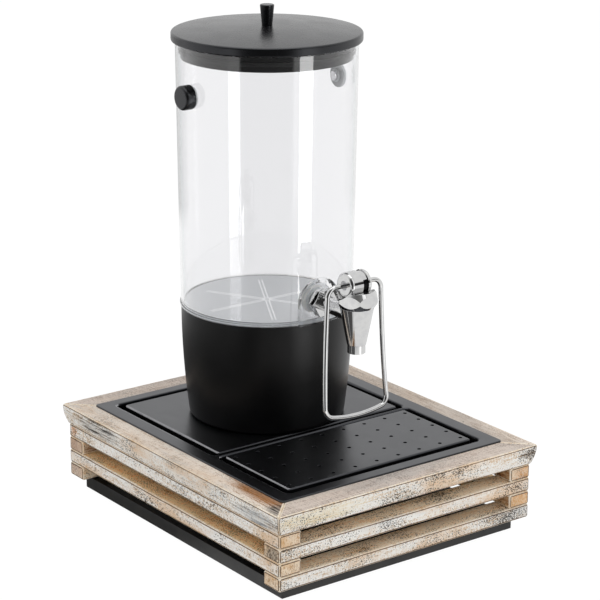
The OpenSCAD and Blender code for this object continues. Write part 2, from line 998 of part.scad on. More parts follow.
module tap_body() {
    stem_l = y_collar_front - tap_y;
    color("gainsboro")
        difference() {
            union() {
                translate([0, tap_y, 0])
                    lathe([
                        [0, z_tip],
                        [tip_r, z_tip],
                        [tip_r, z_cone],
                        [tip_r + tip_step, z_cone],
                        [cone_top_r, z_bonnet],
                        [0, z_bonnet]
                    ]);
                difference() {
                    along_y(tap_y, z_shank)
                        cylinder(r = stem_tube_r, h = stem_l);
                    translate([0, tap_y, z_bonnet])
                        cylinder(r = bonnet_r + loose_gap, h = bonnet_h);
                }
            }
            translate([0, tap_y, z_tip - over])
                cylinder(r = outlet_r, h = z_seat - z_tip + 2 * over);
            translate([0, tap_y, z_seat])
                cylinder(r = chamber_r, h = z_bonnet - z_seat + over);
            along_y(tap_y, z_shank)
                cylinder(r = shank_bore_r, h = stem_l);
            along_y(y_collar_front - spigot_l - hole_gap, z_shank)
                cylinder(r = spigot_r + fit, h = spigot_l + hole_gap + over);
        }
}

module tap_bonnet() {
    color("gainsboro")
        difference() {
            union() {
                intersection() {
                    translate([0, tap_y, z_bonnet])
                        cylinder(r = bonnet_r, h = bonnet_h, $fn = 6);
                    translate([0, tap_y, 0])
                        lathe([
                            [0, z_bonnet - over],
                            [bonnet_flat_r - over, z_bonnet - over],
                            [bonnet_r, z_bonnet + bonnet_h * (1 - bonnet_band_share) / 2],
                            [bonnet_r, z_bonnet + bonnet_h * (1 + bonnet_band_share) / 2],
                            [bonnet_flat_r - over, z_bonnet_top + over],
                            [0, z_bonnet_top + over]
                        ]);
                }
                translate([0, tap_y, z_bonnet - bonnet_spigot_h])
                    cylinder(r = bonnet_spigot_r, h = bonnet_spigot_h + over);
            }
            translate([0, tap_y, z_bonnet - bonnet_spigot_h - over])
                cylinder(r = spring_pocket_r, h = bonnet_spigot_h + over + spring_pocket_h);
            translate([0, tap_y, z_bonnet])
                cylinder(r = stem_r + run_fit, h = bonnet_h + over);
            along_x(-bonnet_r - over, pivot_y, z_pivot)
                cylinder(r = head_r + fit, h = 2 * (bonnet_r + over));
        }
}

module pivot_head() {
    tube_l = head_l - 2 * cap_flange_t;
    color("gainsboro")
        difference() {
            along_x(-tube_l / 2, pivot_y, z_pivot)
                ring(head_r, head_bore_r, tube_l);
            along_x(head_groove_x, pivot_y, z_pivot)
                ring(head_r + over, head_r - head_groove_t, head_groove_w);
            translate([0, tap_y, z_pivot - head_r - over])
                cylinder(r = stem_r + loose_gap, h = head_r);
        }
}

module head_caps() {
    total = cap_plug_t + cap_flange_t;
    color("gainsboro")
        both_sides()
            along_x(cap_x, pivot_y, z_pivot)
                difference() {
                    union() {
                        cylinder(r = head_bore_r - fit, h = cap_plug_t + fit);
                        lathe(concat(
                            [[0, cap_plug_t], [head_r, cap_plug_t]],
                            arc(head_r - head_round, total - head_round, head_round, 0, 90, round_steps),
                            [[0, total]]
                        ));
                    }
                    translate([0, 0, -over])
                        cylinder(r = journal_r + run_fit, h = total + 2 * over);
                }
}

// Tap, moving pieces
module cam_shaft() {
    web_x = cap_x - loose_gap - web_t;
    color("silver") {
        both_sides()
            difference() {
                union() {
                    along_x(web_x, pivot_y, z_pivot)
                        cylinder(r = web_r, h = web_t);
                    along_x(web_x, pivot_y, z_pivot)
                        cylinder(r = journal_r, h = head_l / 2 - web_x);
                }
                along_x(head_l / 2 - wire_socket, pivot_y, z_pivot)
                    cylinder(r = wire_r + fit, h = wire_socket + over);
            }
        along_x(-web_x - web_t, pivot_y + crank, z_pivot)
            cylinder(r = crank_pin_r, h = 2 * (web_x + web_t));
    }
}

// The bail's middle line seen from the front, as points with their heading, right half from the top
function bail_bend(middle, r, a0, a1) = [
    for (i = [0 : bend_steps])
        let (a = a0 + (a1 - a0) * i / bend_steps)
            [middle[0] + r * cos(a), middle[1] + r * sin(a), a - 90]
];
function bail_leg(p0, p1) = [
    for (i = [1 : leg_steps - 1])
        p0 + (p1 - p0) * i / leg_steps
];
function mirrored(path) = [for (i = [len(path) - 1 : -1 : 0]) [-path[i][0], path[i][1], -path[i][2]]];
function bail_y(z) = pivot_y - bail_kick * pow((z_pivot - z) / bail_reach, 3);

module wire_bail() {
    shoulder = bail_bend(bail_upper, bail_corner_r, 90, bail_lean);
    heel = bail_bend(bail_lower, bail_foot_corner_r, bail_lean, bow_turn - 90);
    bow = bail_bend([0, bow_z], bow_r, bow_turn - 90, -bow_turn - 90);
    side = concat(
        [[head_l / 2 - wire_socket + fit, z_pivot, 0]],
        shoulder,
        bail_leg(shoulder[bend_steps], heel[0]),
        heel
    );
    path = concat(side, [for (i = [1 : bend_steps - 1]) bow[i]], mirrored(side));
    points = [
        for (p = path)
            for (k = [0 : wire_sides - 1])
                let (a = 360 * k / wire_sides, n = wire_r * cos(a))
                    [p[0] - n * sin(p[2]), bail_y(p[1]) + wire_r * sin(a), p[1] + n * cos(p[2])]
    ];
    color("gainsboro")
        tube(points, len(path), wire_sides);
}

module valve_stem() {
    z_stud = z_seat + washer_gap;
    z_fork = z_pivot - fork_half_h;
    color("silver")
        difference() {
            union() {
                translate([0, tap_y, z_stud])
                    cylinder(r = valve_stud_r, h = valve_washer_t + over);
                translate([0, tap_y, z_holder])
                    cylinder(r = valve_r, h = valve_holder_t);
                translate([0, tap_y, z_holder])
                    cylinder(r = stem_r, h = z_fork + over - z_holder);
                translate([-fork_half_w, pivot_y + fork_front, z_fork])
                    cube([2 * fork_half_w, fork_back - fork_front, 2 * fork_half_h]);
            }
            translate([-fork_half_w - over, pivot_y + fork_slot_y, z_pivot - fork_slot_half_h])
                cube([2 * (fork_half_w + over), fork_back, 2 * fork_slot_half_h]);
        }
}

module valve_washer() {
    color("dimgray")
        translate([0, tap_y, z_seat + washer_gap])
            ring(valve_r, valve_stud_r + fit, valve_washer_t);
}

// One unbroken coil of round wire, closed at both ends
module valve_spring() {
    rings = floor(spring_turns * spring_turn_steps);
    z0 = z_spring + spring_wire_r + fit;
    rise = z_spring_top - spring_wire_r - fit - z0;
    middles = [
        for (i = [0 : rings])
            let (turn = 360 * spring_turns * i / rings)
                [spring_r * cos(turn), spring_r * sin(turn), z0 + rise * i / rings]
    ];
    apart = [for (i = [spring_turn_steps : rings]) norm(middles[i] - middles[i - spring_turn_steps])];
    points = [
        for (p = middles)
            for (k = [0 : spring_sides - 1])
                let (a = 360 * k / spring_sides, grow = 1 + spring_wire_r * cos(a) / spring_r)
                    [p[0] * grow, tap_y + p[1] * grow, p[2] + spring_wire_r * sin(a)]
    ];
    echo(spring_gap = min(apart) - 2 * spring_wire_r);
    color("silver")
        tube(points, rings + 1, spring_sides);
}

rail_front();
rail_back();
rail_left();
rail_right();
side_slat_upper_left();
side_slat_upper_right();
side_slat_lower_left();
side_slat_lower_right();
end_slat_upper_front();
end_slat_upper_back();
end_slat_lower_front();
end_slat_lower_back();
base_board();
rubber_feet();
corner_dowels();
board_screws();
drip_tray();
stand_plate();
drip_grid();
tank_shell();
tank_base();
tank_screws();
base_cover();
cover_screws();
cooling_pack();
lid_disc();
lid_plug();
lid_seal();
lid_knob();
knob_screw();
side_button();
side_cap();
button_gasket();
button_washers();
button_screws();
tap_shank();
outer_gasket();
inner_gasket();
shank_nut();
tap_body();
tap_bonnet();
pivot_head();
head_caps();
cam_shaft();
wire_bail();
valve_stem();
valve_washer();
valve_spring();
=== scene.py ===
import bpy
import bmesh
import json
import math
from mathutils import Matrix, Vector, noise

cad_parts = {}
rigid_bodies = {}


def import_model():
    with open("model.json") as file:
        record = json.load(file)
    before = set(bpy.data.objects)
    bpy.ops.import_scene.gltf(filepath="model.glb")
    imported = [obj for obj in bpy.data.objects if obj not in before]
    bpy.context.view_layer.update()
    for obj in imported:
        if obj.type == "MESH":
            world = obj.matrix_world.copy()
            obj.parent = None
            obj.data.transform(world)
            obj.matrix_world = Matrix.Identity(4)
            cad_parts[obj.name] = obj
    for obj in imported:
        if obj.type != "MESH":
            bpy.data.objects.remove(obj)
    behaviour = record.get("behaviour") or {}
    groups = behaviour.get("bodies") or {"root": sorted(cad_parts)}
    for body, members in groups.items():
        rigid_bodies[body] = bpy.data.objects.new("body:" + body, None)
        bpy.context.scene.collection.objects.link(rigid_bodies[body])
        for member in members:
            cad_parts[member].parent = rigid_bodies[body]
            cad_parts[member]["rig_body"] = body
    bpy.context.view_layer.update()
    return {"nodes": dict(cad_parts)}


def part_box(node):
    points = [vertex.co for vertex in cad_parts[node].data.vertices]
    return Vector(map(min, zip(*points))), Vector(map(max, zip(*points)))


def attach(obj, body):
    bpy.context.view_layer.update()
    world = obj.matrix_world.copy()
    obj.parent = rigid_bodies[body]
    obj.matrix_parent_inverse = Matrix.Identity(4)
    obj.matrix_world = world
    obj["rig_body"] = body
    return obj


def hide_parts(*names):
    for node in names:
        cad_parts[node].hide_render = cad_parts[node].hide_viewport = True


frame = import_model()
nodes = frame["nodes"]
scene = bpy.context.scene
scene.view_settings.view_transform = "Standard"
mm = 0.001
print("frame loaded,", len(nodes), "nodes")


def placeObject(name, data):
    made = bpy.data.objects.new(name, data)
    scene.collection.objects.link(made)
    return made


def levels(start, stop, steps):
    return [start + (stop - start) * i / steps for i in range(steps + 1)]


# Camera at the photograph's place, worked out from the crate's edges
cameraView = {
    "place": (-1.17652, -1.57535, 0.81714),
    "yaw": 36.885,  # degrees round from +Y towards +X
    "pitch": 17.32,  # degrees down
    "roll": -0.292,
    "lens": 136.18,  # millimetres, as is the sensor's width
    "sensor": 36,
}


def makeCamera():
    yaw, pitch, roll = (math.radians(cameraView[k]) for k in ("yaw", "pitch", "roll"))
    ahead = Vector((math.sin(yaw) * math.cos(pitch), math.cos(yaw) * math.cos(pitch), -math.sin(pitch)))
    right = Vector((math.cos(yaw), -math.sin(yaw), 0))
    down = ahead.cross(right)
    across = math.cos(roll) * right + math.sin(roll) * down
    below = math.cos(roll) * down - math.sin(roll) * right
    data = bpy.data.cameras.new("photoCamera")
    data.lens = cameraView["lens"]
    data.sensor_width = cameraView["sensor"]
    camera = placeObject("photoCamera", data)
    turn = Matrix((across, -below, -ahead)).transposed().to_4x4()
    camera.matrix_world = Matrix.Translation(cameraView["place"]) @ turn
    scene.camera = camera


makeCamera()


# Node helpers
def setInputs(tree, node, inputs):
    for key, value in inputs.items():
        if isinstance(value, bpy.types.NodeSocket):
            tree.links.new(value, node.inputs[key])
        else:
            node.inputs[key].default_value = value


def addNode(tree, kind, inputs=None, **settings):
    made = tree.nodes.new("ShaderNode" + kind)
    for key, value in settings.items():
        setattr(made, key, value)
    setInputs(tree, made, inputs or {})
    return made


def tone(text):
    parts = [int(text[i:i + 2], 16) / 255 for i in (1, 3, 5)]
    return (*(p / 12.92 if p <= 0.04045 else ((p + 0.055) / 1.055) ** 2.4 for p in parts), 1)


def calc(tree, how, a, b, c=0.0, clamp=False):
    return addNode(tree, "Math", {0: a, 1: b, 2: c}, operation=how, use_clamp=clamp).outputs[0]


def times(tree, a, b, plus=0.0):
    return calc(tree, "MULTIPLY_ADD", a, b, plus)


def larger(tree, a, b):
    return calc(tree, "MAXIMUM", a, b)


def dotWith(tree, vector, way):
    return addNode(tree, "VectorMath", {0: vector, 1: way}, operation="DOT_PRODUCT").outputs["Value"]


def lengthOf(tree, vector):
    return addNode(tree, "VectorMath", {0: vector}, operation="LENGTH").outputs["Value"]


def spread(tree, value, low, high, toLow=0.0, toHigh=1.0):
    made = addNode(tree, "MapRange", {"Value": value, "From Min": low, "From Max": high,
                                                "To Min": toLow, "To Max": toHigh},
                   interpolation_type="SMOOTHSTEP", clamp=True)
    return made.outputs["Result"]


def blendColour(tree, share, a, b):
    # the node's sockets 6 and 7 take colours, and so does its output 2
    return addNode(tree, "Mix", {0: share, 6: a, 7: b}, data_type="RGBA", clamp_factor=True).outputs[2]


def cloud(tree, vector, scale, detail, roughness, distortion=0.0):
    made = addNode(tree, "TexNoise", {"Vector": vector, "Scale": scale, "Detail": detail,
                                                "Roughness": roughness, "Distortion": distortion})
    return made.outputs["Fac"]


def stretched(tree, vector, scale, shift):
    made = addNode(tree, "Mapping", {"Vector": vector, "Scale": scale, "Location": shift})
    return made.outputs["Vector"]


def marks(tree, vector, stretch, shift, *texture):
    return cloud(tree, stretched(tree, vector, stretch, shift), *texture)


def newGroup(name, ins, outs):
    tree = bpy.data.node_groups.new(name, "ShaderNodeTree")
    for label in ins + outs:
        kind = "NodeSocketVector" if label == "Vector" else "NodeSocketFloat"
        tree.interface.new_socket(label, in_out="INPUT" if label in ins else "OUTPUT", socket_type=kind)
    return tree, tree.nodes.new("NodeGroupInput").outputs, tree.nodes.new("NodeGroupOutput")


def placeGroup(tree, group, inputs):
    return addNode(tree, "Group", inputs, node_tree=group).outputs


# Sawn wood: fibres along X, saw marks across, lines on sawn ends, flakes of paint, specks of dirt and stains
grainMarks = {  # stretch and shift, then the noise's scale, detail, roughness and distortion
    "Fibre": ((0.06, 1, 1), (0, 0, 0), 520, 6, 0.66),
    "Saw": ((1, 0.16, 0.3), (2.7, 0.4, 1.1), 620, 4, 0.6, 0.3),
    "Sawn": ((1, 1, 0.07), (6.1, 2.4, 0.7), 700, 4, 0.65),
    "Flake": ((0.7, 1, 1), (1.2, 6.6, 3.9), 900, 4, 0.72),
    "Dots": ((0.6, 0.9, 0.9), (3.1, 1.7, 0.4), 1150, 2, 0.5),
    "Zone": ((0.5, 1, 1), (0.3, 5.2, 2.2), 48, 3, 0.55),
    "Wear": ((0.20, 1, 1), (7.3, 0.2, 4.4), 110, 5, 0.62, 0.5),
    "Stain": ((0.35, 1, 1), (1.9, 8.1, 3.7), 34, 4, 0.6),
    "Grey": ((0.25, 1, 1), (5.5, 2.6, 9.9), 24, 4, 0.62),
}


def makeTimberGrain():
    labels = ("Fibre", "Saw", "Sawn", "Flake", "Speck", "Wear", "Stain", "Grey", "Height")
    tree, ins, out = newGroup("timberGrain", ("Vector",), labels)
    made = {label: marks(tree, ins["Vector"], *values) for label, values in grainMarks.items()}
    made["Speck"] = times(tree, made["Zone"], 0.6, made["Dots"])
    pits = spread(tree, made["Speck"], 0.90, 0.98)
    made["Height"] = times(tree, pits, -0.6, times(tree, made["Saw"], 0.5, made["Flake"]))
    setInputs(tree, out, {label: made[label] for label in labels})
    return tree


# Moulded skin: a fine leathery grain, wipe marks, and a height for the bump
def makeMouldedSkin():
    tree, ins, out = newGroup("mouldedSkin", ("Vector", "Scale"), ("Shade", "Wipe", "Height"))
    vector = ins["Vector"]
    setInputs(tree, out, {"Shade": marks(tree, vector, (1, 1, 1), (2.2, 0.7, 5.1), 38, 4, 0.6),
                          "Wipe": marks(tree, vector, (1, 0.7, 1), (4.4, 1.3, 0.6), 45, 4, 0.6, 0.6),
                          "Height": cloud(tree, vector, ins["Scale"], 3, 0.6)})
    return tree


# Polished metal: faint polishing lines and finger smears
def makePolishMarks():
    tree, ins, out = newGroup("polishMarks", ("Vector",), ("Smear", "Height"))
    vector = ins["Vector"]
    setInputs(tree, out, {"Smear": marks(tree, vector, (1, 1, 1), (1.4, 3.3, 0.8), 120, 4, 0.6, 0.5),
                          "Height": marks(tree, vector, (1, 1, 0.06), (0, 0, 0), 2600, 2, 0.5)})
    return tree


timberGrain = makeTimberGrain()
mouldedSkin = makeMouldedSkin()
polishMarks = makePolishMarks()


def emptyTree(owner):
    owner.use_nodes = True
    owner.node_tree.nodes.clear()
    return owner.node_tree


def newFinish(name):
    finish = bpy.data.materials.new(name)
    tree = emptyTree(finish)
    shader = addNode(tree, "BsdfPrincipled")
    addNode(tree, "OutputMaterial", {"Surface": shader.outputs[0]})
    return finish, tree, shader, addNode(tree, "TexCoord").outputs["Object"]


def newSkinned(name, grainScale):
    finish, tree, shader, where = newFinish(name)
    return finish, tree, shader, placeGroup(tree, mouldedSkin, {"Vector": where, "Scale": grainScale})


def addBump(tree, shader, height, strength, distance):
    bump = addNode(tree, "Bump", {"Height": height, "Strength": strength, "Distance": distance})
    tree.links.new(bump.outputs["Normal"], shader.inputs["Normal"])


# Whitewashed timber, from painted faces to bare ones
timberKeys = ("dark", "pale", "stain", "grey", "speck", "dots", "rough")
timberLooks = {  # dark and pale ends of the face, strength of stains, grey and specks, level of specks, roughness
    "washed": ("#D6BA98", "#FFFDF8", 0.60, 0.25, 0.90, 0.88, 0.72),
    "worn": ("#BFA386", "#FBEEE0", 0.25, 0.35, 0.40, 0.91, 0.66),
    "bare": ("#EFC594", "#FFF2DC", 0.25, 0.08, 0.90, 0.86, 0.78),
    "sawn": ("#C2935F", "#F8E5CC", 0.60, 0.15, 0.50, 0.90, 0.75),
    "arris": ("#DDBE96", "#FFF6E6", 0.40, 0.15, 0.35, 0.90, 0.70),
    "line": ("#2C1F16", "#7C5F46", 0.10, 0.20, 0.60, 0.88, 0.75),
}
dowelLook = ("#A8804F", "#D3B283", 0.2, 0.1, 0.3, 0.91, 0.7)
timberTurned = {
    ("worn", "x"): {"dark": "#AD998C", "pale": "#E4D6CA", "stain": 0.10},  # the front rail's top is greyer
    ("bare", "y"): {"dark": "#FFC282", "pale": "#FFE7BC"},  # the side slats are warmer on top
}
timberMarks = {"stain": "#E3B47A", "grey": "#8F9294", "dirt": "#2A221B"}
timberPatches = {  # marks that sit in one place: centre and half size in mm, colour, strength and streakiness
    ("worn", "y"): [((-127, -122, 84), (13, 48, 9), "#A0641F", 1.0, 0.2),
                    ((-134, -160, 84), (16, 15, 9), "#2E2B27", 1.0, 0.5),
                    ((128, 0, 84), (22, 260, 9), "#AEA197", 0.70, 0.4)],
    ("washed", "y"): [((-144, 112, 76), (9, 44, 9), "#262422", 0.95, 0.8),
                      ((-144, -140, 73), (9, 36, 9), "#6F7A84", 0.80, 0.7),
                      ((-140, 160, 60), (9, 6, 6), "#D98F45", 0.75, 0.3)],
    ("washed", "x"): [((134, -172, 78), (11, 9, 5), "#4E4034", 0.75, 0.6),
                      ((-100, -170, 77), (60, 9, 9), "#F6E6BE", 0.60, 0.4)],
    ("bare", "x"): [((-125, 140, 46), (24, 22, 8), "#7A4C26", 0.90, 0.4)],
    ("bare", "y"): [((125, -158, 46), (22, 44, 34), "#8A5222", 0.90, 0.3)],
    ("sawn", "x"): [((-140, -157, 46), (7, 12, 9), "#4E463E", 0.95, 0.5),
                    ((-140, 157, 38), (8, 20, 36), "#B9A096", 0.75, 0.4)],
    ("sawn", "y"): [((132, -172, 50), (18, 10, 30), "#D58A38", 0.50, 0.6)],
}
patchEdge = {"ragged": 1.6, "full": 1.45, "gone": 2.2}  # in half sizes of the patch


def patchMask(tree, where, centre, half, wobble):
    near = stretched(tree, where, [1 / (h * mm) for h in half], [-c / h for c, h in zip(centre, half)])
    away = times(tree, wobble, patchEdge["ragged"], lengthOf(tree, near))
    return spread(tree, away, patchEdge["full"], patchEdge["gone"], 1.0, 0.0)


def makeTimber(name, values, direction, changes=None, patches=()):
    look = {**dict(zip(timberKeys, values)), **(changes or {})}
    finish, tree, shader, where = newFinish(name)
    turn = (0, 0, math.radians(-90) if direction == "y" else 0)
    lengthwise = addNode(tree, "Mapping", {"Vector": where, "Rotation": turn}).outputs["Vector"]
    grain = placeGroup(tree, timberGrain, {"Vector": lengthwise})
    fibre, flake = grain["Fibre"], grain["Flake"]
    cuts = grain["Sawn"] if name.startswith("sawn") else grain["Saw"]
    streak = times(tree, fibre, 0.55, times(tree, cuts, 0.45))
    rubbed = times(tree, grain["Wear"], 0.40, times(tree, flake, 0.75, streak))
    colour = blendColour(tree, spread(tree, rubbed, 0.88, 1.13), tone(look["dark"]), tone(look["pale"]))
    stained = times(tree, spread(tree, grain["Stain"], 0.46, 0.70), look["stain"])
    colour = blendColour(tree, stained, colour, tone(timberMarks["stain"]))
    weathered = times(tree, fibre, 0.6, grain["Grey"])
    greyed = times(tree, spread(tree, weathered, 0.80, 1.02), look["grey"])
    colour = blendColour(tree, greyed, colour, tone(timberMarks["grey"]))
    ragged = times(tree, fibre, 0.6, times(tree, flake, 0.7))
    for centre, half, shade, strength, streakiness in patches:
        streaky = spread(tree, fibre, 0.38, 0.56, 1.0, 1 - streakiness)
        mask = times(tree, patchMask(tree, where, centre, half, ragged), streaky)
        colour = blendColour(tree, times(tree, mask, strength), colour, tone(shade))
    dirty = times(tree, spread(tree, grain["Speck"], look["dots"], look["dots"] + 0.08), look["speck"])
    setInputs(tree, shader, {
        "Base Color": blendColour(tree, dirty, colour, tone(timberMarks["dirt"])),
        "Roughness": spread(tree, fibre, 0.2, 0.8, look["rough"] + 0.12, look["rough"] - 0.10),
        "Specular IOR Level": 0.25})
    addBump(tree, shader, grain["Height"], 0.5, 0.0010)
    return finish


timber = {}
for look, values in timberLooks.items():
    for way in ("x", "y"):
        timber[(look, way)] = makeTimber(look + "Timber" + way.upper(), values, way, timberTurned.get((look, way)),
                                         timberPatches.get((look, way), ()))

# Plastics, rubber and laminate share one recipe
mouldedWipe = 0.05  # how much wipe marks change the roughness


def makeMoulded(name, colour, pale, roughness, grainScale, bump, specular, gloss="#FFFFFF"):
    finish, tree, shader, skin = newSkinned(name, grainScale)
    setInputs(tree, shader, {
        "Base Color": blendColour(tree, spread(tree, skin["Shade"], 0.30, 0.72), tone(colour), tone(pale)),
        "Roughness": spread(tree, skin["Wipe"], 0.25, 0.75, roughness - mouldedWipe / 2, roughness + mouldedWipe / 2),
        "Specular IOR Level": specular, "Specular Tint": tone(gloss)})
    addBump(tree, shader, skin["Height"], bump, 0.0003)
    return finish


baseBlack = makeMoulded("matteBlackBase", "#060607", "#09090A", 0.34, 2600, 0.06, 0.26)
lidBlack = makeMoulded("satinBlackLid", "#060607", "#09090B", 0.27, 3000, 0.04, 0.50, "#F5F8FF")
plugBlack = makeMoulded("satinBlackPlug", "#09090A", "#0C0C0D", 0.32, 3000, 0.04, 0.12)
trayBlack = makeMoulded("satinBlackTray", "#050506", "#09090A", 0.30, 2400, 0.05, 0.78, "#F1F5FF")
# painted shade: the board's top is near black for the crate's shadow over it; its sides keep the lighter board colour
boardTop = makeMoulded("boardTop", "#050505", "#080808", 0.55, 1500, 0.15, 0.1)
boardBlack = makeMoulded("blackBoard", "#2E2E2E", "#383837", 0.55, 1500, 0.15, 0.4)
footRubber = makeMoulded("footRubber", "#111111", "#1A1A1A", 0.75, 1800, 0.2, 0.3)
paleSilicone = makeMoulded("paleSilicone", "#C2C6C9", "#D2D5D6", 0.42, 1500, 0.08, 0.4)
capGrey = makeMoulded("capGrey", "#9EA3A7", "#AEB2B5", 0.40, 1500, 0.06, 0.4)
nutWhite = makeMoulded("palePlastic", "#CFCFCB", "#DEDEDB", 0.35, 1600, 0.06, 0.45)
valveBlack = makeMoulded("valveRubber", "#161616", "#202020", 0.7, 1800, 0.2, 0.3)
dowelWood = makeTimber("dowelTimber", dowelLook, "x")


def makeMetal(name, colour, dark, roughness, smear, bump):
    finish, tree, shader, where = newFinish(name)
    marks = placeGroup(tree, polishMarks, {"Vector": where})
    setInputs(tree, shader, {
        "Base Color": blendColour(tree, spread(tree, marks["Smear"], 0.35, 0.7), tone(colour), tone(dark)),
        "Metallic": 1.0,
        "Roughness": spread(tree, marks["Smear"], 0.3, 0.75, roughness, roughness + smear)})
    addBump(tree, shader, marks["Height"], bump, 0.0001)
    return finish


chrome = makeMetal("polishedChrome", "#CFCFCE", "#C6C6C7", 0.04, 0.04, 0.015)
turnedSteel = makeMetal("turnedSteel", "#B9B9BB", "#A9A9AC", 0.24, 0.10, 0.08)
screwSteel = makeMetal("screwSteel", "#C4C4C6", "#B0B0B2", 0.20, 0.08, 0.05)
# painted highlight: a bright metal for the rounded left edges of the tray and plates
foldedEdge = makeMetal("foldedEdge", "#8E8E91", "#808083", 0.22, 0.08, 0.02)
# painted shade and painted dark reflection: a dark metal for the pivot head's groove and underside
grooveDark = makeMetal("grooveDark", "#1C1C1D", "#121213", 0.30, 0.08, 0.05)


# Clear plastic lets lamp light through, so the floor inside is lit
def makeClear(name, colour, rim, outside, ior=1.49):
    finish, tree, shader, skin = newSkinned(name, 900)
    surface = shader.outputs[0].links[0].to_socket
    facing = addNode(tree, "LayerWeight", {"Blend": 0.5}).outputs["Facing"]
    setInputs(tree, shader, {
        "Base Color": blendColour(tree, spread(tree, facing, 0.60, 0.95), tone(colour), tone(rim)),
        "Transmission Weight": 1.0, "IOR": ior,
        "Coat Weight": 1.0 if outside else 0.0, "Coat Roughness": 0.01,
        "Specular Tint": (1, 1, 1, 1) if outside else (0, 0, 0, 1),
        "Roughness": spread(tree, skin["Wipe"], 0.5, 0.85, 0.0, 0.02)})
    addBump(tree, shader, skin["Shade"], 0.015, 0.0004)
    through = addNode(tree, "BsdfTransparent", {"Color": (0.92, 0.925, 0.93, 1)})
    shadowRay = addNode(tree, "LightPath").outputs["Is Shadow Ray"]
    mixed = addNode(tree, "MixShader", {0: shadowRay, 1: shader.outputs[0], 2: through.outputs[0]})
    tree.links.new(mixed.outputs[0], surface)
    return finish


clearPlastic = makeClear("clearPlastic", "#F6F6F7", "#D6DDE0", True)
clearInside = makeClear("clearInside", "#F6F6F7", "#D6DDE0", False)
clearPad = makeClear("clearPad", "#FAFAFB", "#F2F4F5", True, 1.15)


# Cloudy plastic: the etched underside of the tank's floor looks grey through it, with paler ribs that glow as painted
# light
def makeCloudy(name, colour, pale, grainScale, roughness, bump, depth, glow=0.0):
    finish, tree, shader, skin = newSkinned(name, grainScale)
    setInputs(tree, shader, {
        "Base Color": blendColour(tree, skin["Shade"], tone(colour), tone(pale)),
        "Roughness": spread(tree, skin["Wipe"], 0.3, 0.7, *roughness),
        "Emission Color": (1, 1, 1, 1), "Emission Strength": glow})
    addBump(tree, shader, skin["Height"], bump, depth)
    return finish


etchedPlastic = makeCloudy("etchedPlastic", "#DDE1E4", "#E6E9EC", 1400, (0.42, 0.55), 0.1, 0.0003)
# painted light: the ribs glow so that they read paler through the floor
etchedRibs = makeCloudy("etchedRibs", "#F8FAFB", "#FFFFFF", 1400, (0.42, 0.55), 0.1, 0.0003, 0.30)
gelPack = makeCloudy("gelPack", "#7C9DB8", "#A9C4D6", 500, (0.2, 0.35), 0.2, 0.0006)
print("finishes made:", len(bpy.data.materials))

# Shape helpers
sharpAngle = math.radians(40)  # edges sharper than this are softened
past = 1.0  # how far a cutter reaches past what it cuts, in mm


def meshFrom(bm, name="shape"):
    mesh = bpy.data.meshes.new(name)
    bm.to_mesh(mesh)
    bm.free()
    return mesh


def shapeFrom(holder):
    mesh = bpy.data.meshes.new_from_object(holder.evaluated_get(bpy.context.evaluated_depsgraph_get()))
    bm = bmesh.new()
    bm.from_mesh(mesh)
    bpy.data.meshes.remove(mesh)
    return bm


def finishPiece(name, bm, finishes, standsFor, crease=35):
    limit = math.radians(crease)
    for face in bm.faces:
        face.smooth = True
    for edge in bm.edges:
        edge.smooth = len(edge.link_faces) == 2 and edge.calc_face_angle(0) < limit
    mesh = meshFrom(bm, name)
    for finish in finishes:
        mesh.materials.append(finish)
    piece = placeObject(name, mesh)
    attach(piece, nodes[standsFor[0]]["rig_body"])
    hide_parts(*standsFor)
    shade = piece.modifiers.new("evenShade", "WEIGHTED_NORMAL")
    shade.keep_sharp = True
    return piece


def bevelled(bm, parts, width, steps, affect):
    return bmesh.ops.bevel(bm, geom=parts, offset=width * mm, offset_type="OFFSET", segments=steps, profile=0.5,
                           affect=affect, clamp_overlap=True, material=-1)["faces"]


def soften(bm, width, steps):
    sharp = [e for e in bm.edges if len(e.link_faces) == 2 and e.calc_face_angle(0) > sharpAngle]
    return bevelled(bm, sharp, width, steps, "EDGES")


def weld(bm):
    bmesh.ops.remove_doubles(bm, verts=bm.verts, dist=1e-6)
    bmesh.ops.recalc_face_normals(bm, faces=bm.faces)


def cutAcross(bm, place, way, clear=False):
    bmesh.ops.bisect_plane(bm, geom=bm.verts[:] + bm.edges[:] + bm.faces[:], dist=1e-7, plane_co=place,
                           plane_no=way, clear_outer=clear)


def turned(profile, rounds, steps, place, closed=False, roundSteps=5):
    # profile gives radius and height in mm; rounds gives a corner's number and its radius
    bm = bmesh.new()
    points = [bm.verts.new((r * mm, 0, z * mm)) for r, z in profile]
    for a, b in zip(points, points[1:]):
        bm.edges.new((a, b))
    if closed:
        bm.edges.new((points[-1], points[0]))
    for number, radius in rounds.items():
        bevelled(bm, [points[number]], radius, roundSteps, "VERTICES")
    bmesh.ops.spin(bm, geom=bm.verts[:] + bm.edges[:], cent=(0, 0, 0), axis=(0, 0, 1), angle=math.tau, steps=steps,
                   use_merge=True, use_duplicate=False)
    weld(bm)
    bmesh.ops.transform(bm, matrix=place, verts=bm.verts)
    return bm


def roundedLoop(bm, x0, x1, y0, y1, radius, z, steps=6):
    # edges of a rectangle with round corners, in mm
    before = set(bm.faces)
    made = bmesh.ops.create_grid(bm, x_segments=1, y_segments=1, size=0.5)
    bmesh.ops.scale(bm, vec=((x1 - x0) * mm, (y1 - y0) * mm, 1), verts=made["verts"])
    bmesh.ops.translate(bm, vec=((x0 + x1) / 2 * mm, (y0 + y1) / 2 * mm, z * mm), verts=made["verts"])
    bevelled(bm, made["verts"], radius, steps, "VERTICES")
    face = [f for f in bm.faces if f not in before][0]
    edges = face.edges[:]
    bm.faces.remove(face)
    return edges


def roundLoop(bm, x, y, radius, z, sides):
    made = bmesh.ops.create_circle(bm, cap_ends=False, radius=radius * mm, segments=sides)
    bmesh.ops.translate(bm, vec=(x * mm, y * mm, z * mm), verts=made["verts"])
    return list(dict.fromkeys(e for v in made["verts"] for e in v.link_edges))


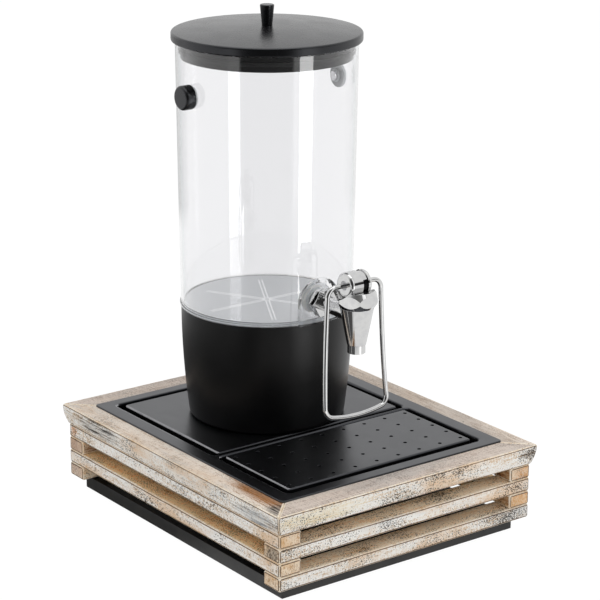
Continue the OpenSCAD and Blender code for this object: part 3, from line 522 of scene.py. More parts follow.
def bridge(bm, *chains):
    for loops in chains:
        for a, b in zip(loops, loops[1:]):
            bmesh.ops.bridge_loops(bm, edges=a + b)


def fillFlat(bm, loops):
    bmesh.ops.triangle_fill(bm, use_beauty=True, edges=[e for loop in loops for e in loop], normal=(0, 0, 1))


def combined(base, tool, how):
    # joins or cuts two closed shapes with the exact solver
    made = [placeObject("shape", meshFrom(shape)) for shape in (base, tool)]
    cut = made[0].modifiers.new("cut", "BOOLEAN")
    cut.operation = how
    cut.solver = "EXACT"
    cut.object = made[1]
    bm = shapeFrom(made[0])
    for piece in made:
        data = piece.data
        bpy.data.objects.remove(piece)
        bpy.data.meshes.remove(data)
    return bm


def boxShape(x0, x1, y0, y1, z0, z1):
    bm = bmesh.new()
    bmesh.ops.create_cube(bm, size=1)
    bmesh.ops.scale(bm, vec=((x1 - x0) * mm, (y1 - y0) * mm, (z1 - z0) * mm), verts=bm.verts)
    bmesh.ops.translate(bm, vec=((x0 + x1) / 2 * mm, (y0 + y1) / 2 * mm, (z0 + z1) / 2 * mm), verts=bm.verts)
    return bm


def rodShape(radius, height, place, sides):
    bm = bmesh.new()
    bmesh.ops.create_cone(bm, cap_ends=True, cap_tris=False, segments=sides, radius1=radius * mm,
                          radius2=radius * mm, depth=height * mm)
    bmesh.ops.translate(bm, vec=(0, 0, height / 2 * mm), verts=bm.verts)
    bmesh.ops.transform(bm, matrix=place, verts=bm.verts)
    return bm


def along(x, y, z, turn="z"):
    degrees, axis = {"z": (0, "X"), "x": (90, "Y"), "-x": (-90, "Y"), "y": (-90, "X")}[turn]
    return Matrix.Translation((x * mm, y * mm, z * mm)) @ Matrix.Rotation(math.radians(degrees), 4, axis)


def boxOf(node):
    low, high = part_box(node)
    return low, high, boxShape(*(v / mm for pair in zip(low, high) for v in pair))


# Crate rails: mitred, with a round outer face
railShape = {"width": 33.5, "height": 19.0, "foot": 65.5, "lean": 4.0, "curveSteps": 8, "cuts": 36,
             "edge": 1.4, "edgeSteps": 3}
railPlaces = {"front": (0, 290, 172.5), "back": (180, 290, 172.5), "left": (-90, 345, 145), "right": (90, 345, 145)}
timberRough = {"amount": 0.12, "coarse": 70, "fine": 260, "fineShare": 0.5}
washed, worn, bare, sawn, arris, edgeLine = range(6)  # in the order of timberLooks
noise.seed_set(11)  # else the noise starts from the clock


def timberSet(direction):
    return [timber[(look, direction)] for look in timberLooks]


def roughen(bm):
    s = timberRough
    for vert in bm.verts:
        coarse, fine = (noise.noise_vector(vert.co * s[size]) for size in ("coarse", "fine"))
        vert.co += coarse * s["amount"] * mm + fine * s["amount"] * s["fineShare"] * mm


def markEdges(bm, width, steps):
    # rounded edges are pale, with a dark line where they meet a painted face
    strips = set(soften(bm, width, steps))
    for face in strips:
        beside = [f for e in face.edges for f in e.link_faces if f not in strips]
        face.material_index = edgeLine if any(f.material_index in (washed, sawn) for f in beside) else arris


def makeRail(side):
    s = railShape
    turn, length, reach = railPlaces[side]
    width, height, lean = (s[k] for k in ("width", "height", "lean"))
    radius = (height ** 2 + lean ** 2) / (2 * lean)
    bm = bmesh.new()
    top = bm.verts.new((0, 0, height * mm))
    bmesh.ops.spin(bm, geom=[top], cent=(0, radius * mm, height * mm), axis=(1, 0, 0),
                   angle=math.asin(height / radius), steps=s["curveSteps"])
    outline = sorted(bm.verts, key=lambda v: -v.co.z)
    outline += [bm.verts.new((0, width * mm, z * mm)) for z in (0, height)]
    start = bm.faces.new(outline)
    bmesh.ops.translate(bm, vec=(-length / 2 * mm, 0, 0), verts=bm.verts)
    drawn = bmesh.ops.extrude_face_region(bm, geom=[start])
    farEnd = [g for g in drawn["geom"] if isinstance(g, bmesh.types.BMVert)]
    bmesh.ops.translate(bm, vec=(length * mm, 0, 0), verts=farEnd)
    for end in (-1, 1):
        cutAcross(bm, (end * length / 2 * mm, 0, 0), (end, 1, 0), clear=True)
        bmesh.ops.holes_fill(bm, edges=[e for e in bm.edges if e.is_boundary], sides=0)
    bmesh.ops.recalc_face_normals(bm, faces=bm.faces)
    for step in range(1, s["cuts"]):  # cross cuts give the roughening something to move
        cutAcross(bm, ((step / s["cuts"] - 0.5) * (length - 2 * width) * mm, 0, 0), (1, 0, 0))
    for face in bm.faces:
        n = face.normal
        face.material_index = worn if n.z > 0.8 else washed if n.y < -0.5 else bare
    markEdges(bm, s["edge"], s["edgeSteps"])
    bmesh.ops.transform(bm, matrix=along(0, 0, s["foot"]) @ Matrix.Rotation(math.radians(turn), 4, "Z")
                        @ Matrix.Translation((0, -reach * mm, 0)), verts=bm.verts)
    roughen(bm)
    direction = "x" if side in ("front", "back") else "y"
    finishPiece(side + "Rail", bm, timberSet(direction), ["rail_" + side])


for side in railPlaces:
    makeRail(side)

# Slats, laid log-cabin fashion
slatShape = {"edge": 1.7, "edgeSteps": 3, "cuts": 40}


def makeSlat(node):
    s = slatShape
    low, high, bm = boxOf(node)
    lengthwise = 0 if node.startswith("end") else 1
    outward = 1 - lengthwise
    sign = 1 if (low + high)[outward] > 0 else -1
    for face in bm.faces:
        n = face.normal
        face.material_index = sawn if abs(n[lengthwise]) > 0.7 else washed if n[outward] * sign > 0.7 else bare
    for step in range(1, s["cuts"]):
        cutAcross(bm, low.lerp(high, step / s["cuts"]), (1 - lengthwise, lengthwise, 0))
    markEdges(bm, s["edge"], s["edgeSteps"])
    roughen(bm)
    name = "".join(p.capitalize() if i else p for i, p in enumerate(node.split("_")))
    finishPiece(name, bm, timberSet("xy"[lengthwise]), [node])


for node in sorted(nodes):
    if "_slat_" in node:
        makeSlat(node)
print("crate timber made")

# Base board
boardShape = {"edge": 0.7, "edgeSteps": 3}


def makeBoard():
    bm = boxOf("base_board")[2]
    soften(bm, boardShape["edge"], boardShape["edgeSteps"])
    # upward faces take the near-black painted shade
    for face in bm.faces:
        face.material_index = 1 if face.normal.z > 0.5 else 0
    finishPiece("baseBoard", bm, [boardBlack, boardTop], ["base_board"])


makeBoard()

# Drip tray: a rim on the frame and two wells
trayShape = {
    "rim": (123.8, 148.5), "rimCorner": 3.2, "top": 86.0, "underRim": 84.5, "floor": 62.0, "bottom": 60.5,
    "wellHalf": 108.5, "wells": ((-27.0, 136.0), (-136.0, -31.0)), "wellCorner": 5.0, "wellRound": 2.0,
    "body": (110.0, 137.5), "bodyCorner": 6.5, "edge": 0.8, "lip": 2.2, "lipSteps": 5,
}


def quarter(radius, steps):
    # inset and drop of a rounded edge, from its top to its side
    return [(radius * (1 - math.sin(a)), radius * (1 - math.cos(a))) for a in levels(0, math.pi / 2, steps)]


def paintEdgeHighlights(bm, low, half):
    # painted highlight: rounded edges on the left side get a bright metal finish that stands in for the light they
    # catch
    for face in bm.faces:
        middle, n = face.calc_center_median() / mm, face.normal
        folded = abs(n.x) > 0.1 and n.z > 0.1
        face.material_index = 1 if folded and middle.z > low and -half < middle.x < 0 else 0


def makeTray():
    s = trayShape
    rx, ry = s["rim"]
    bx, by = s["body"]
    w, lip, inner = s["wellHalf"], s["lip"], s["wellRound"]
    bm = bmesh.new()
    outer = [roundedLoop(bm, -rx + i, rx - i, -ry + i, ry - i, s["rimCorner"] - i, s["top"] - d)
             for i, d in quarter(s["edge"], s["lipSteps"])]
    outer.append(roundedLoop(bm, -rx, rx, -ry, ry, s["rimCorner"], s["underRim"]))
    body = [roundedLoop(bm, -bx, bx, -by, by, s["bodyCorner"], z) for z in (s["underRim"], s["bottom"])]
    wells = []
    for y0, y1 in s["wells"]:
        loops = [roundedLoop(bm, -w - i, w + i, y0 - i, y1 + i, s["wellCorner"] + i, s["top"] - d)
                 for i, d in quarter(lip, s["lipSteps"])]
        loops += [roundedLoop(bm, -w + inner - i, w - inner + i, y0 + inner - i, y1 - inner + i,
                              s["wellCorner"] - inner + i, s["floor"] + d)
                  for d, i in reversed(quarter(inner, s["lipSteps"]))]
        wells.append(loops)
    bridge(bm, outer, body, *wells)
    for loops in wells:
        fillFlat(bm, [loops[-1]])
    fillFlat(bm, [outer[0]] + [loops[0] for loops in wells])
    fillFlat(bm, [outer[-1], body[0]])
    fillFlat(bm, [body[-1]])
    weld(bm)
    # painted highlight on the left lips of the wells
    paintEdgeHighlights(bm, s["top"] - lip, w + lip)
    finishPiece("dripTray", bm, [trayBlack, foldedEdge], ["drip_tray"])


makeTray()

# Stand plate and drip grid: shells with a rounded top edge
plateShape = {"half": 102.5, "top": 86.4, "skin": 3.0, "wall": 2.5, "foot": 62.0, "corner": 3.0, "topCorner": 3.01,
              "innerCorner": 0.5, "edge": 1.6, "edgeSteps": 5, "stand": (-24.0, 130.0), "grid": (-130.0, -34.0)}
gridShape = {"columns": 9, "rows": 5, "edgeX": 5.7, "edgeY": 8.4, "hole": 1.75, "chamfer": 0.15, "leg": 22.0,
             "skirt": 8.0, "sides": 20}


def makePlate(name, node, span, holes=()):
    s, g = plateShape, gridShape
    w, wall = s["half"], s["wall"]
    y0, y1 = span
    ceiling = s["top"] - s["skin"]
    bm = bmesh.new()
    outer = [roundedLoop(bm, -w + i, w - i, y0 + i, y1 - i, s["topCorner"] - i, s["top"] - d)
             for i, d in quarter(s["edge"], s["edgeSteps"])]
    outer.append(roundedLoop(bm, -w, w, y0, y1, s["corner"], s["foot"]))
    inner = [roundedLoop(bm, -w + wall, w - wall, y0 + wall, y1 - wall, s["innerCorner"], z)
             for z in (s["foot"], ceiling)]
    steps = ((g["hole"] + g["chamfer"], s["top"]), (g["hole"], s["top"] - g["chamfer"]), (g["hole"], ceiling))
    pierced = [[roundLoop(bm, x, y, r, z, g["sides"]) for r, z in steps] for x, y in holes]
    bridge(bm, outer, inner, *pierced)
    fillFlat(bm, [outer[0]] + [loops[0] for loops in pierced])
    fillFlat(bm, [inner[-1]] + [loops[-1] for loops in pierced])
    fillFlat(bm, [outer[-1], inner[0]])
    weld(bm)
    if holes:  # windows between the legs
        low, top, leg = s["foot"] - past, ceiling - g["skirt"], g["leg"]
        bm = combined(bm, boxShape(-w + leg, w - leg, y0 - past, y1 + past, low, top), "DIFFERENCE")
        bm = combined(bm, boxShape(-w - past, w + past, y0 + leg, y1 - leg, low, top), "DIFFERENCE")
    # painted highlight on the plate's rounded top edge, on the left side only
    paintEdgeHighlights(bm, s["top"] - s["edge"], w)
    for face in bm.faces:
        if abs(face.calc_center_median().x) < (w - s["edge"]) * mm:
            face.material_index = 0
    finishPiece(name, bm, [trayBlack, foldedEdge], [node])


def gridHoles():
    g, w = gridShape, plateShape["half"] - gridShape["edgeX"]
    y0, y1 = plateShape["grid"]
    return [(x, y) for x in levels(-w, w, g["columns"] - 1)
            for y in levels(y0 + g["edgeY"], y1 - g["edgeY"], g["rows"] - 1)]


makePlate("standPlate", "stand_plate", plateShape["stand"])
makePlate("dripGrid", "drip_grid", plateShape["grid"], gridHoles())
print("tray and plates made")

# Black base under the tank, drawn in towards its foot
axisY = 43.4
tankAxis = along(0, axisY, 0)
baseShape = {"foot": 86.4, "top": 191.9, "topRadius": 79.0, "draw": 7.0, "wall": 3.0, "footRound": 4.0,
             "topRounds": (0.6, 0.4), "mouth": 65.5, "coverTop": 91.4, "flangeTop": 181.9, "flangeInner": 62.8,
             "flange": 3.0, "curveSteps": 24, "innerSteps": 12}


def baseRadius(z):
    s = baseShape
    return s["topRadius"] - s["draw"] * ((s["top"] - z) / (s["top"] - s["foot"])) ** 2


def makeBase():
    s = baseShape
    wall, flangeTop, steps = s["wall"], s["flangeTop"], s["curveSteps"]
    underFlange = flangeTop - s["flange"]
    outside = [(baseRadius(z), z) for z in levels(s["foot"], s["top"], steps)]
    inside = [(baseRadius(z) - wall, z) for z in levels(underFlange, s["coverTop"], s["innerSteps"])]
    profile = [(s["mouth"], s["foot"])] + outside + [
        (s["topRadius"] - wall, s["top"]), (baseRadius(flangeTop) - wall, flangeTop),
        (s["flangeInner"], flangeTop), (s["flangeInner"], underFlange)] + inside + [(s["mouth"], s["coverTop"])]
    rounds = {1: s["footRound"], steps + 1: s["topRounds"][0], steps + 2: s["topRounds"][1]}
    bm = turned(profile, rounds, 160, tankAxis, closed=True)
    finishPiece("tankBase", bm, [baseBlack], ["tank_base"])


makeBase()

# Clear tank with its ledge, floor ribs and tap pad
tankShape = {
    "foot": 191.9, "top": 436.5, "footRadius": 79.3, "topRadius": 82.3, "wall": 2.5, "floor": 3.0,
    "ledgeHeight": 2.5, "ledgeOut": 0.9, "seat": 3.0, "steps": 192,
    "rounds": {2: 0.4, 3: 0.5, 9: 0.8, 10: 0.8, 15: 1.5},  # number of the profile's corner, and radius
    "rings": {"top": 3.0, "far": 60.0, "ledge": 1.5, "floor": 4.0},  # these keep the wall's shading straight
    "ribs": 6, "ribWidth": 4.6, "ribEdge": 1.5, "ribDepth": 4.0, "ribLength": 62.0, "hub": 5.0,
    "ribRise": (0.10, 0.06), "hubRise": (0.14, 0.18),  # edge and middle, into the clear floor
    "padHalf": 21.5, "padFace": -36.95, "padDepth": 8.0, "padLift": 0.03, "padInner": 16.0, "padInnerFace": -31.15,
    "bossSink": 1.5, "shankHeight": 212.5, "shankHole": 8.2, "shankCut": (-5.0, 20.0),  # start and length
    "buttonHeight": 394.5, "buttonHole": 2.2, "buttonCut": (-100.0, 200.0),
}
clearFace, etchedFace, glowingRibFace, innerFace, padSideFace, seatFace = range(6)


def tankRadius(z):
    s = tankShape
    return s["footRadius"] + (s["topRadius"] - s["footRadius"]) * (z - s["foot"]) / (s["top"] - s["foot"])


def addShape(bm, shape, place, finish):
    bmesh.ops.transform(shape, matrix=place, verts=shape.verts)
    for face in shape.faces:
        face.material_index = finish
    mesh = meshFrom(shape)
    bm.from_mesh(mesh)
    bpy.data.meshes.remove(mesh)


def addRibs(bm):
    # pale edges that glow as painted light and a grey middle, a hair inside the clear floor so that they show from
    # above
    s = tankShape
    top, foot, long = s["foot"], s["foot"] - s["ribDepth"], s["ribLength"]
    half, inner = s["ribWidth"] / 2, s["ribWidth"] / 2 - s["ribEdge"]
    edge, middle = s["ribRise"]
    for i in range(s["ribs"] // 2):
        turn = tankAxis @ Matrix.Rotation(math.tau * i / s["ribs"], 4, "Z")
        for y0, y1, rise, finish in ((-half, -inner, edge, glowingRibFace), (-inner, inner, middle, etchedFace),
                                     (inner, half, edge, glowingRibFace)):
            addShape(bm, boxShape(-long, long, y0, y1, foot, top + rise), turn, finish)
    for radius, rise, finish in zip((s["hub"], s["hub"] - 2 * s["ribEdge"]), s["hubRise"], (glowingRibFace, etchedFace)):
        hub = rodShape(radius, s["ribDepth"] + rise, along(0, axisY, foot), 48)
        addShape(bm, hub, Matrix.Identity(4), finish)


def tapPad(floorTop):
    s = tankShape
    half, y0, depth, z1 = s["padHalf"], s["padFace"], s["padDepth"], s["shankHeight"]
    foot = s["foot"] + s["padLift"]
    pad = boxShape(-half, half, y0, y0 + depth, foot, z1)
    arch = rodShape(half, depth, along(0, y0, z1, "y"), 96)
    above = boxShape(-half - past, half + past, y0 - past, y0 + depth + past, foot, z1 + half + past)
    pad = combined(pad, combined(arch, above, "INTERSECT"), "UNION")
    halfWall = s["wall"] / 2
    core = turned([(0, floorTop), (tankRadius(floorTop) - halfWall, floorTop), (s["topRadius"] - halfWall, s["top"]),
                   (0, s["top"])], {}, s["steps"], tankAxis)
    return combined(pad, core, "DIFFERENCE")


def makeTank():
    s, ring = tankShape, tankShape["rings"]
    foot, top, wall, y0, z1 = (s[k] for k in ("foot", "top", "wall", "padFace", "shankHeight"))
    ledge, floorTop = foot + s["ledgeHeight"], foot + s["floor"]
    heights = [top - ring["top"], top - ring["far"], foot + ring["far"], floorTop + ring["floor"]]
    outside = [(tankRadius(z), z) for z in [ledge + ring["ledge"]] + heights[-2::-1]]
    inside = [(tankRadius(z) - wall, z) for z in heights]
    ledgeRadius, floorRadius = s["footRadius"] + s["ledgeOut"], tankRadius(floorTop) - wall
    seat = ledgeRadius - s["seat"]  # the black base shows where the ledge rests on it
    profile = [(0, foot), (seat, foot), (ledgeRadius, foot), (ledgeRadius, ledge), (tankRadius(ledge), ledge)]
    profile += outside + [(s["topRadius"], top), (s["topRadius"] - wall, top)] + inside
    profile += [(floorRadius, floorTop), (floorRadius - ring["floor"], floorTop), (0, floorTop)]
    bm = turned(profile, s["rounds"], s["steps"], tankAxis, roundSteps=4)
    bm = combined(bm, tapPad(floorTop), "UNION")
    sunk = y0 + s["bossSink"]
    bm = combined(bm, rodShape(s["padInner"], s["padInnerFace"] - sunk, along(0, sunk, z1, "y"), 96), "UNION")
    start, length = s["shankCut"]
    bm = combined(bm, rodShape(s["shankHole"], length, along(0, y0 + start, z1, "y"), 64), "DIFFERENCE")
    start, length = s["buttonCut"]
    holes = rodShape(s["buttonHole"], length, along(start, axisY, s["buttonHeight"], "x"), 32)
    bm = combined(bm, holes, "DIFFERENCE")
    for face in bm.faces:
        middle = face.calc_center_median() / mm
        reach, wallHere = math.hypot(middle.x, middle.y - axisY), tankRadius(middle.z)
        below = middle.z < foot + 0.01 and reach < s["footRadius"] + 1
        within = middle.z > floorTop and reach < wallHere - wall + 0.1 and abs(face.normal.z) < 0.5
        onWall = min(abs(reach - wallHere + d) for d in (0, wall)) < 0.2
        padSide = not onWall and abs(middle.x) < s["padHalf"] + 0.1 and middle.y < s["padInnerFace"] + 0.1
        if below:
            face.material_index = seatFace if reach > seat else etchedFace
        else:
            face.material_index = padSideFace if padSide else innerFace if within else clearFace
    addRibs(bm)
    finishes = [clearPlastic, etchedPlastic, etchedRibs, clearInside, clearPad, baseBlack]
    finishPiece("clearTank", bm, finishes, ["tank_shell"], 25)


makeTank()
print("tank and base made")

# Lid disc with a low crown, and its knob
lidShape = {"foot": 436.5, "radius": 86.0, "rim": 8.0, "crown": 5.3, "round": 1.6, "skin": 3.0, "land": 71.8,
            "boss": 14.0, "curveSteps": 24, "hollowSteps": 10}
knobShape = {"foot": 449.8, "height": 18.3, "footRadius": 4.75, "topRadius": 6.5, "footRound": 0.3, "round": 1.1}


def lidTop(r):
    s = lidShape
    return s["foot"] + s["rim"] + s["crown"] * (1 - (r / s["radius"]) ** 2)


def makeLid():
    s, k = lidShape, knobShape
    foot, boss, land = s["foot"], s["boss"], s["land"]
    crown = [(r, lidTop(r)) for r in levels(s["radius"], 0, s["curveSteps"])]
    hollow = [(r, lidTop(r) - s["skin"]) for r in levels(boss, land, s["hollowSteps"])]
    profile = [(0, foot), (boss, foot)] + hollow + [(land, foot), (s["radius"], foot)] + crown
    outer = len(hollow) + 3
    bm = turned(profile, {outer: s["round"], outer + 1: s["round"]}, 160, tankAxis)
    finishPiece("lidDisc", bm, [lidBlack], ["lid_disc"])
    top = k["foot"] + k["height"]
    bm = turned([(0, k["foot"]), (k["footRadius"], k["foot"]), (k["topRadius"], top), (0, top)],
                {1: k["footRound"], 2: k["round"]}, 64, tankAxis)
    finishPiece("lidKnob", bm, [lidBlack], ["lid_knob"])


makeLid()

# Black button on the left of the tank and flat cap on the right
buttonShape = {"radius": 11.0, "turn": "-x", "round": 2.6}
capShape = {"radius": 11.2, "turn": "x", "round": 0.8}
buttonMore, buttonFootRound = 1.5, 0.3  # how much thicker than the solid, and the edge at the wall


def makeButton(name, node, s, finish):
    low, high = (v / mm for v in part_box(node))
    depth = high.x - low.x + buttonMore
    seat = high.x if s["turn"] == "-x" else low.x
    place = along(seat, (low.y + high.y) / 2, (low.z + high.z) / 2, s["turn"])
    profile = [(0, 0), (s["radius"], 0), (s["radius"], depth), (0, depth)]
    bm = turned(profile, {1: buttonFootRound, 2: s["round"]}, 80, place)
    finishPiece(name, bm, [finish], [node])


makeButton("sideButton", "side_button", buttonShape, lidBlack)
makeButton("sideCap", "side_cap", capShape, capGrey)
print("lid and buttons made")

# Wire bail that hangs from the pivot head
bailShape = {"topHalf": 29.6, "footHalf": 34.3, "drop": 118.0, "bow": 2.4, "kick": 5.6, "corner": 9.0, "wire": 2.2,
             "pivot": (-86.7, 241.0), "start": 7.3, "steps": 20, "legSteps": 16, "roundness": 7}


def makeBail():
    s = bailShape
    pivotY, pivotZ = s["pivot"]
    upper = (s["topHalf"] - s["corner"], pivotZ - s["corner"])
    lower = (s["footHalf"] - s["corner"], pivotZ - s["drop"] + s["corner"])
    lean = math.atan((lower[0] - upper[0]) / (upper[1] - lower[1]))
    bowRadius = lower[0] / math.sin(2 * math.atan(s["bow"] / lower[0]))
    bowTurn = math.asin(lower[0] / (bowRadius - s["corner"]))
    bowHeight = lower[1] + (bowRadius - s["corner"]) * math.cos(bowTurn)
    reach = pivotZ - bowHeight + bowRadius

    def bend(middle, radius, a0, a1):
        return [(middle[0] + radius * math.cos(a), middle[1] + radius * math.sin(a))
                for a in levels(a0, a1, s["steps"])]

    shoulder = bend(upper, s["corner"], math.pi / 2, lean)
    heel = bend(lower, s["corner"], lean, bowTurn - math.pi / 2)
    leg = list(zip(*(levels(a, b, s["legSteps"]) for a, b in zip(shoulder[-1], heel[0]))))[1:-1]
    half = [(s["start"], pivotZ)] + shoulder + leg + heel
    half += bend((0, bowHeight), bowRadius, bowTurn - math.pi / 2, -math.pi / 2)[1:]
    path = half + [(-x, z) for x, z in reversed(half[:-1])]
    curve = bpy.data.curves.new("bail", "CURVE")
    curve.dimensions = "3D"
    curve.bevel_depth = s["wire"] * mm
    curve.bevel_resolution = s["roundness"]
    curve.use_fill_caps = True
    line = curve.splines.new("POLY")
    line.points.add(len(path) - 1)
    for point, (x, z) in zip(line.points, path):
        y = pivotY - s["kick"] * ((pivotZ - z) / reach) ** 3
        point.co = (x * mm, y * mm, z * mm, 1)
    holder = placeObject("bail", curve)
    bm = shapeFrom(holder)
    bpy.data.objects.remove(holder)
    bpy.data.curves.remove(curve)
    weld(bm)
    finishPiece("wireBail", bm, [chrome], ["wire_bail"]).modifiers.clear()


makeBail()

# Small pieces keep the solid's shape, with softened edges
smallPieces = (  # finish, slot, then each node and the width of its softened edge in mm
    (chrome, "polished_chrome", {"tap_body": 0.25, "tap_bonnet": 0.3, "pivot_head": 0.15, "head_caps": 0.15,
                                 "tap_shank": 0.3}),
    (turnedSteel, "turned_steel", {"cam_shaft": 0.15, "valve_stem": 0.1}),
    (valveBlack, "valve_rubber", {"valve_washer": 0.2}),
    (screwSteel, "screw_steel", {"valve_spring": 0.0}),
    (paleSilicone, "pale_silicone", {"outer_gasket": 0.3, "inner_gasket": 0.3}),
    (nutWhite, "nut_plastic", {"shank_nut": 0.6}),
    (paleSilicone, "pale_silicone", {"button_gasket": 0.4, "button_washers": 0.2}),
    (screwSteel, "screw_steel", {"button_screws": 0.4, "knob_screw": 0.4, "tank_screws": 0.3, "cover_screws": 0.3,
                                 "board_screws": 0.2}),
    (plugBlack, "lid_black", {"lid_plug": 0.5}),
    (valveBlack, "valve_rubber", {"lid_seal": 0.6}),
    (baseBlack, "base_black", {"base_cover": 0.4}),
    (gelPack, "gel_pack", {"cooling_pack": 0.0}),
    (dowelWood, "dowel_wood", {"corner_dowels": 0.4}),
    (footRubber, "foot_rubber", {"rubber_feet": 0.3}),
)


def dressNode(node, finish, edge):
    bm = bmesh.new()
    bm.from_mesh(nodes[node].data)
    for layer in list(bm.loops.layers.uv.values()):
        bm.loops.layers.uv.remove(layer)
    bmesh.ops.remove_doubles(bm, verts=bm.verts, dist=2e-6)
    bmesh.ops.dissolve_limit(bm, angle_limit=math.radians(0.2), use_dissolve_boundaries=False, verts=bm.verts,
                             edges=bm.edges)
    for face in bm.faces:
        face.material_index = 0
    if edge:
        soften(bm, edge, 2)
    piece = finishPiece(node + "_dressed", bm, [finish], [node], 30)
    if "custom_normal" in piece.data.attributes:
        piece.data.attributes.remove(piece.data.attributes["custom_normal"])


for finish, slotName, edges in smallPieces:
    for node, edge in edges.items():
        dressNode(node, finish, edge)

# Painted shade in the pivot head's groove and a painted dark reflection on the underside of its body
paintedShadeZone = {"under": 233.5, "side": (1.3, 7.3), "top": 246.0, "radius": 11.3}
# The screw and washer behind the black button are clear and flush with the wall
flushShape = {"sunk": 0.1, "thickness": 0.1}  # mm into the tank, and share of the thickness that is kept


def tintFaces(mesh, finish, chosen):
    mesh.materials.append(finish)
    for face in mesh.polygons:
        if chosen(face.center / mm):
            face.material_index = 1


def inPaintedShade(p):
    g = paintedShadeZone
    y, z = bailShape["pivot"]
    low, high = g["side"]
    return p.z < g["under"] or low < p.x < high and p.z < g["top"] and math.hypot(p.y - y, p.z - z) < g["radius"]


def makeFlush(mesh):
    wall = (tankRadius(tankShape["buttonHeight"]) - tankShape["wall"]) * mm
    for vert in mesh.vertices:
        if -wall < vert.co.x < 0:
            vert.co.x = -wall + flushShape["sunk"] * mm + (vert.co.x + wall) * flushShape["thickness"]


# dark metal painted into the groove and on the head's underside
tintFaces(bpy.data.objects["pivot_head_dressed"].data, grooveDark, inPaintedShade)
for node in ("button_washers", "button_screws"):
    mesh = bpy.data.objects[node + "_dressed"].data
    tintFaces(mesh, clearPad, lambda p: p.x < 0)
    makeFlush(mesh)
print("small pieces made")

# Studio: white floor and surround, two strip boxes and one overhead box
studio = {
    "surround": 0.71,  # level of the surround on matt faces
    "darkFront": 0.06,  # what gloss sees of the room behind the camera
    "frontFade": (0.15, 0.75),
    "darkSide": (72.0, 0.05),  # a dark gap beside the right strip: degrees round from the camera, level
    "sideFade": (0.93, 0.97),
    "strips": ((-38.5, 0.16, 0.20, 0), (48.0, 0.19, 0.9, 4.0)),  # degrees round, width, brightness, extra for gloss
    "stripAway": 0.62, "stripHeight": 0.95, "glossBehind": 0.02,
    "glossy": ("clearTank", "lidKnob", "lid_plug_dressed", "tankBase"),
    "overhead": (1.0, 1.5, 1.35),  # side, height, brightness
    "shadow": 0.06,  # share of the floor that shows the shadow
    "floorShine": 1.046,  # makes the floor white where no shadow lies
    "floorHalf": 8, "floorTone": 0.86,
}
mirrorZones = {  # where reflections see a dark floor, in metres or as the cosine of the way from the camera
    "ahead": (0.45, 0.85), "straight": (0.80, 0.87), "near": (0.95, 1.20, 0.6, 0.0),
    "left": (0.06, 0.14), "leftReach": (0.55, 0.70, 1.0, 0.0),
    "behind": (-0.57, -0.34, 1.0, 0.0), "behindFrom": (0.95, 1.15), "behindSides": (-0.2, 0.2, 0.22, 0.45),
}
white = (1, 1, 1, 1)
cameraYaw = math.radians(cameraView["yaw"])
front = Vector((-math.sin(cameraYaw), -math.cos(cameraYaw), 0))
right = Vector((math.cos(cameraYaw), -math.sin(cameraYaw), 0))


def around(degrees):
    return front * math.cos(math.radians(degrees)) + right * math.sin(math.radians(degrees))


def lamp(name, place, target, width, height, bright):
    data = bpy.data.lights.new(name, "AREA")
    data.shape = "RECTANGLE"
    data.size, data.size_y = width, height
    data.energy = bright * math.pi * width * height
    light = placeObject(name, data)
    toward = (Vector(target) - Vector(place)).normalized()
    light.matrix_world = Matrix.Translation(place) @ toward.to_track_quat("-Z", "Y").to_matrix().to_4x4()
    return light


def makeLamps():
    tall = studio["stripHeight"]
    middle = Vector((0, axisY * mm, tall / 2))
    glossy = bpy.data.collections.new("glossy")
    for name in studio["glossy"]:
        glossy.objects.link(bpy.data.objects[name])
    for number, (angle, width, bright, extra) in enumerate(studio["strips"]):
        place = middle + around(angle) * studio["stripAway"]
        lamp("strip%d" % number, place, middle, width, tall, bright)
        if extra:
            behind = place + (place - middle) * studio["glossBehind"]
            shine = lamp("stripGloss%d" % number, behind, middle, width, tall, extra)
            shine.visible_diffuse = False
            shine.light_linking.receiver_collection = glossy
    side, height, bright = studio["overhead"]
    lamp("overhead", (0, 0, height), (0, mm, 0), side, side, bright)


def rayKinds(tree):
    # rays that show a thing as it is, and those among them that come from a mirror
    ray = addNode(tree, "LightPath").outputs
    seen = larger(tree, larger(tree, ray["Is Camera Ray"], ray["Is Glossy Ray"]), ray["Is Transmission Ray"])
    return seen, calc(tree, "SUBTRACT", ray["Is Glossy Ray"], ray["Is Transmission Ray"], clamp=True)


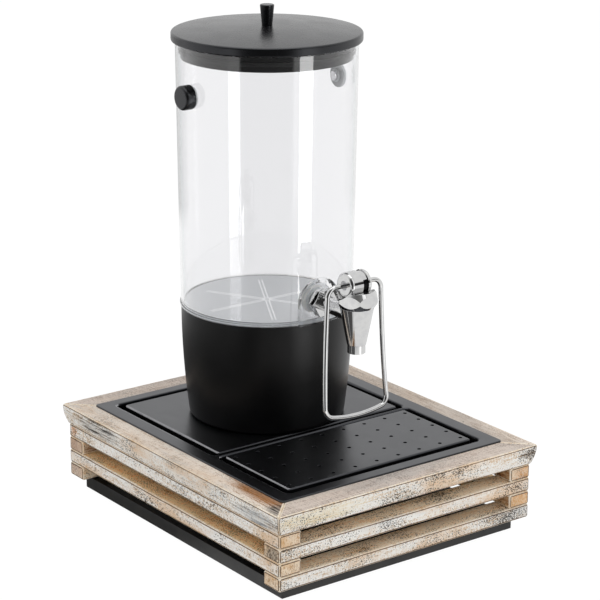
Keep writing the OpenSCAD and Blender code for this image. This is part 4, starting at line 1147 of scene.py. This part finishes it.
def makeSurround():
    world = bpy.data.worlds.new("studio")
    scene.world = world
    world.cycles.sampling_method = "NONE"  # gloss then sees the surround as it is
    tree = emptyTree(world)
    seen, mirrored = rayKinds(tree)
    where = addNode(tree, "TexCoord").outputs["Generated"]
    dim = spread(tree, dotWith(tree, where, front), *studio["frontFade"], 1.0, studio["darkFront"])
    angle, darkest = studio["darkSide"]
    beside = spread(tree, dotWith(tree, where, around(angle)), *studio["sideFade"], 1.0, darkest)
    gloss = blendColour(tree, mirrored, white, times(tree, dim, beside))
    colour = blendColour(tree, seen, (*[studio["surround"]] * 3, 1), gloss)
    shine = addNode(tree, "Background", {"Color": colour, "Strength": 1.0})
    addNode(tree, "OutputWorld", {"Surface": shine.outputs[0]})


def mirrorDarkness(tree, where):
    zones = mirrorZones
    ahead, leftward = dotWith(tree, where, front), dotWith(tree, where, -right)
    away = lengthOf(tree, where)
    facing = calc(tree, "DIVIDE", ahead, away)
    straight = larger(tree, spread(tree, facing, *zones["straight"]), spread(tree, away, *zones["near"]))
    darkness = times(tree, spread(tree, ahead, *zones["ahead"]), straight)
    beside = times(tree, spread(tree, leftward, *zones["left"]), spread(tree, away, *zones["leftReach"]))
    behind = times(tree, spread(tree, facing, *zones["behind"]), spread(tree, away, *zones["behindFrom"]))
    behind = times(tree, behind, spread(tree, leftward, *zones["behindSides"]))
    return larger(tree, larger(tree, darkness, beside), behind)


def makeFloor():
    bm = bmesh.new()
    bmesh.ops.create_grid(bm, x_segments=1, y_segments=1, size=studio["floorHalf"])
    floor = placeObject("floor", meshFrom(bm, "floor"))
    finish = bpy.data.materials.new("whiteFloor")
    tree = emptyTree(finish)
    seen, mirrored = rayKinds(tree)
    where = addNode(tree, "TexCoord").outputs["Object"]
    faded = spread(tree, mirrorDarkness(tree, where), 0.0, 1.0, 1.0, studio["darkFront"])
    tint = blendColour(tree, mirrored, white, faded)
    matt = addNode(tree, "BsdfDiffuse", {"Color": (*[studio["floorTone"]] * 3, 1)})
    shine = addNode(tree, "Emission", {"Color": tint, "Strength": studio["floorShine"]})
    share = times(tree, seen, 1 - studio["shadow"])
    mixed = addNode(tree, "MixShader", {0: share, 1: matt.outputs[0], 2: shine.outputs[0]})
    addNode(tree, "OutputMaterial", {"Surface": mixed.outputs[0]})
    floor.data.materials.append(finish)


makeLamps()
makeSurround()
makeFloor()
print("studio made")
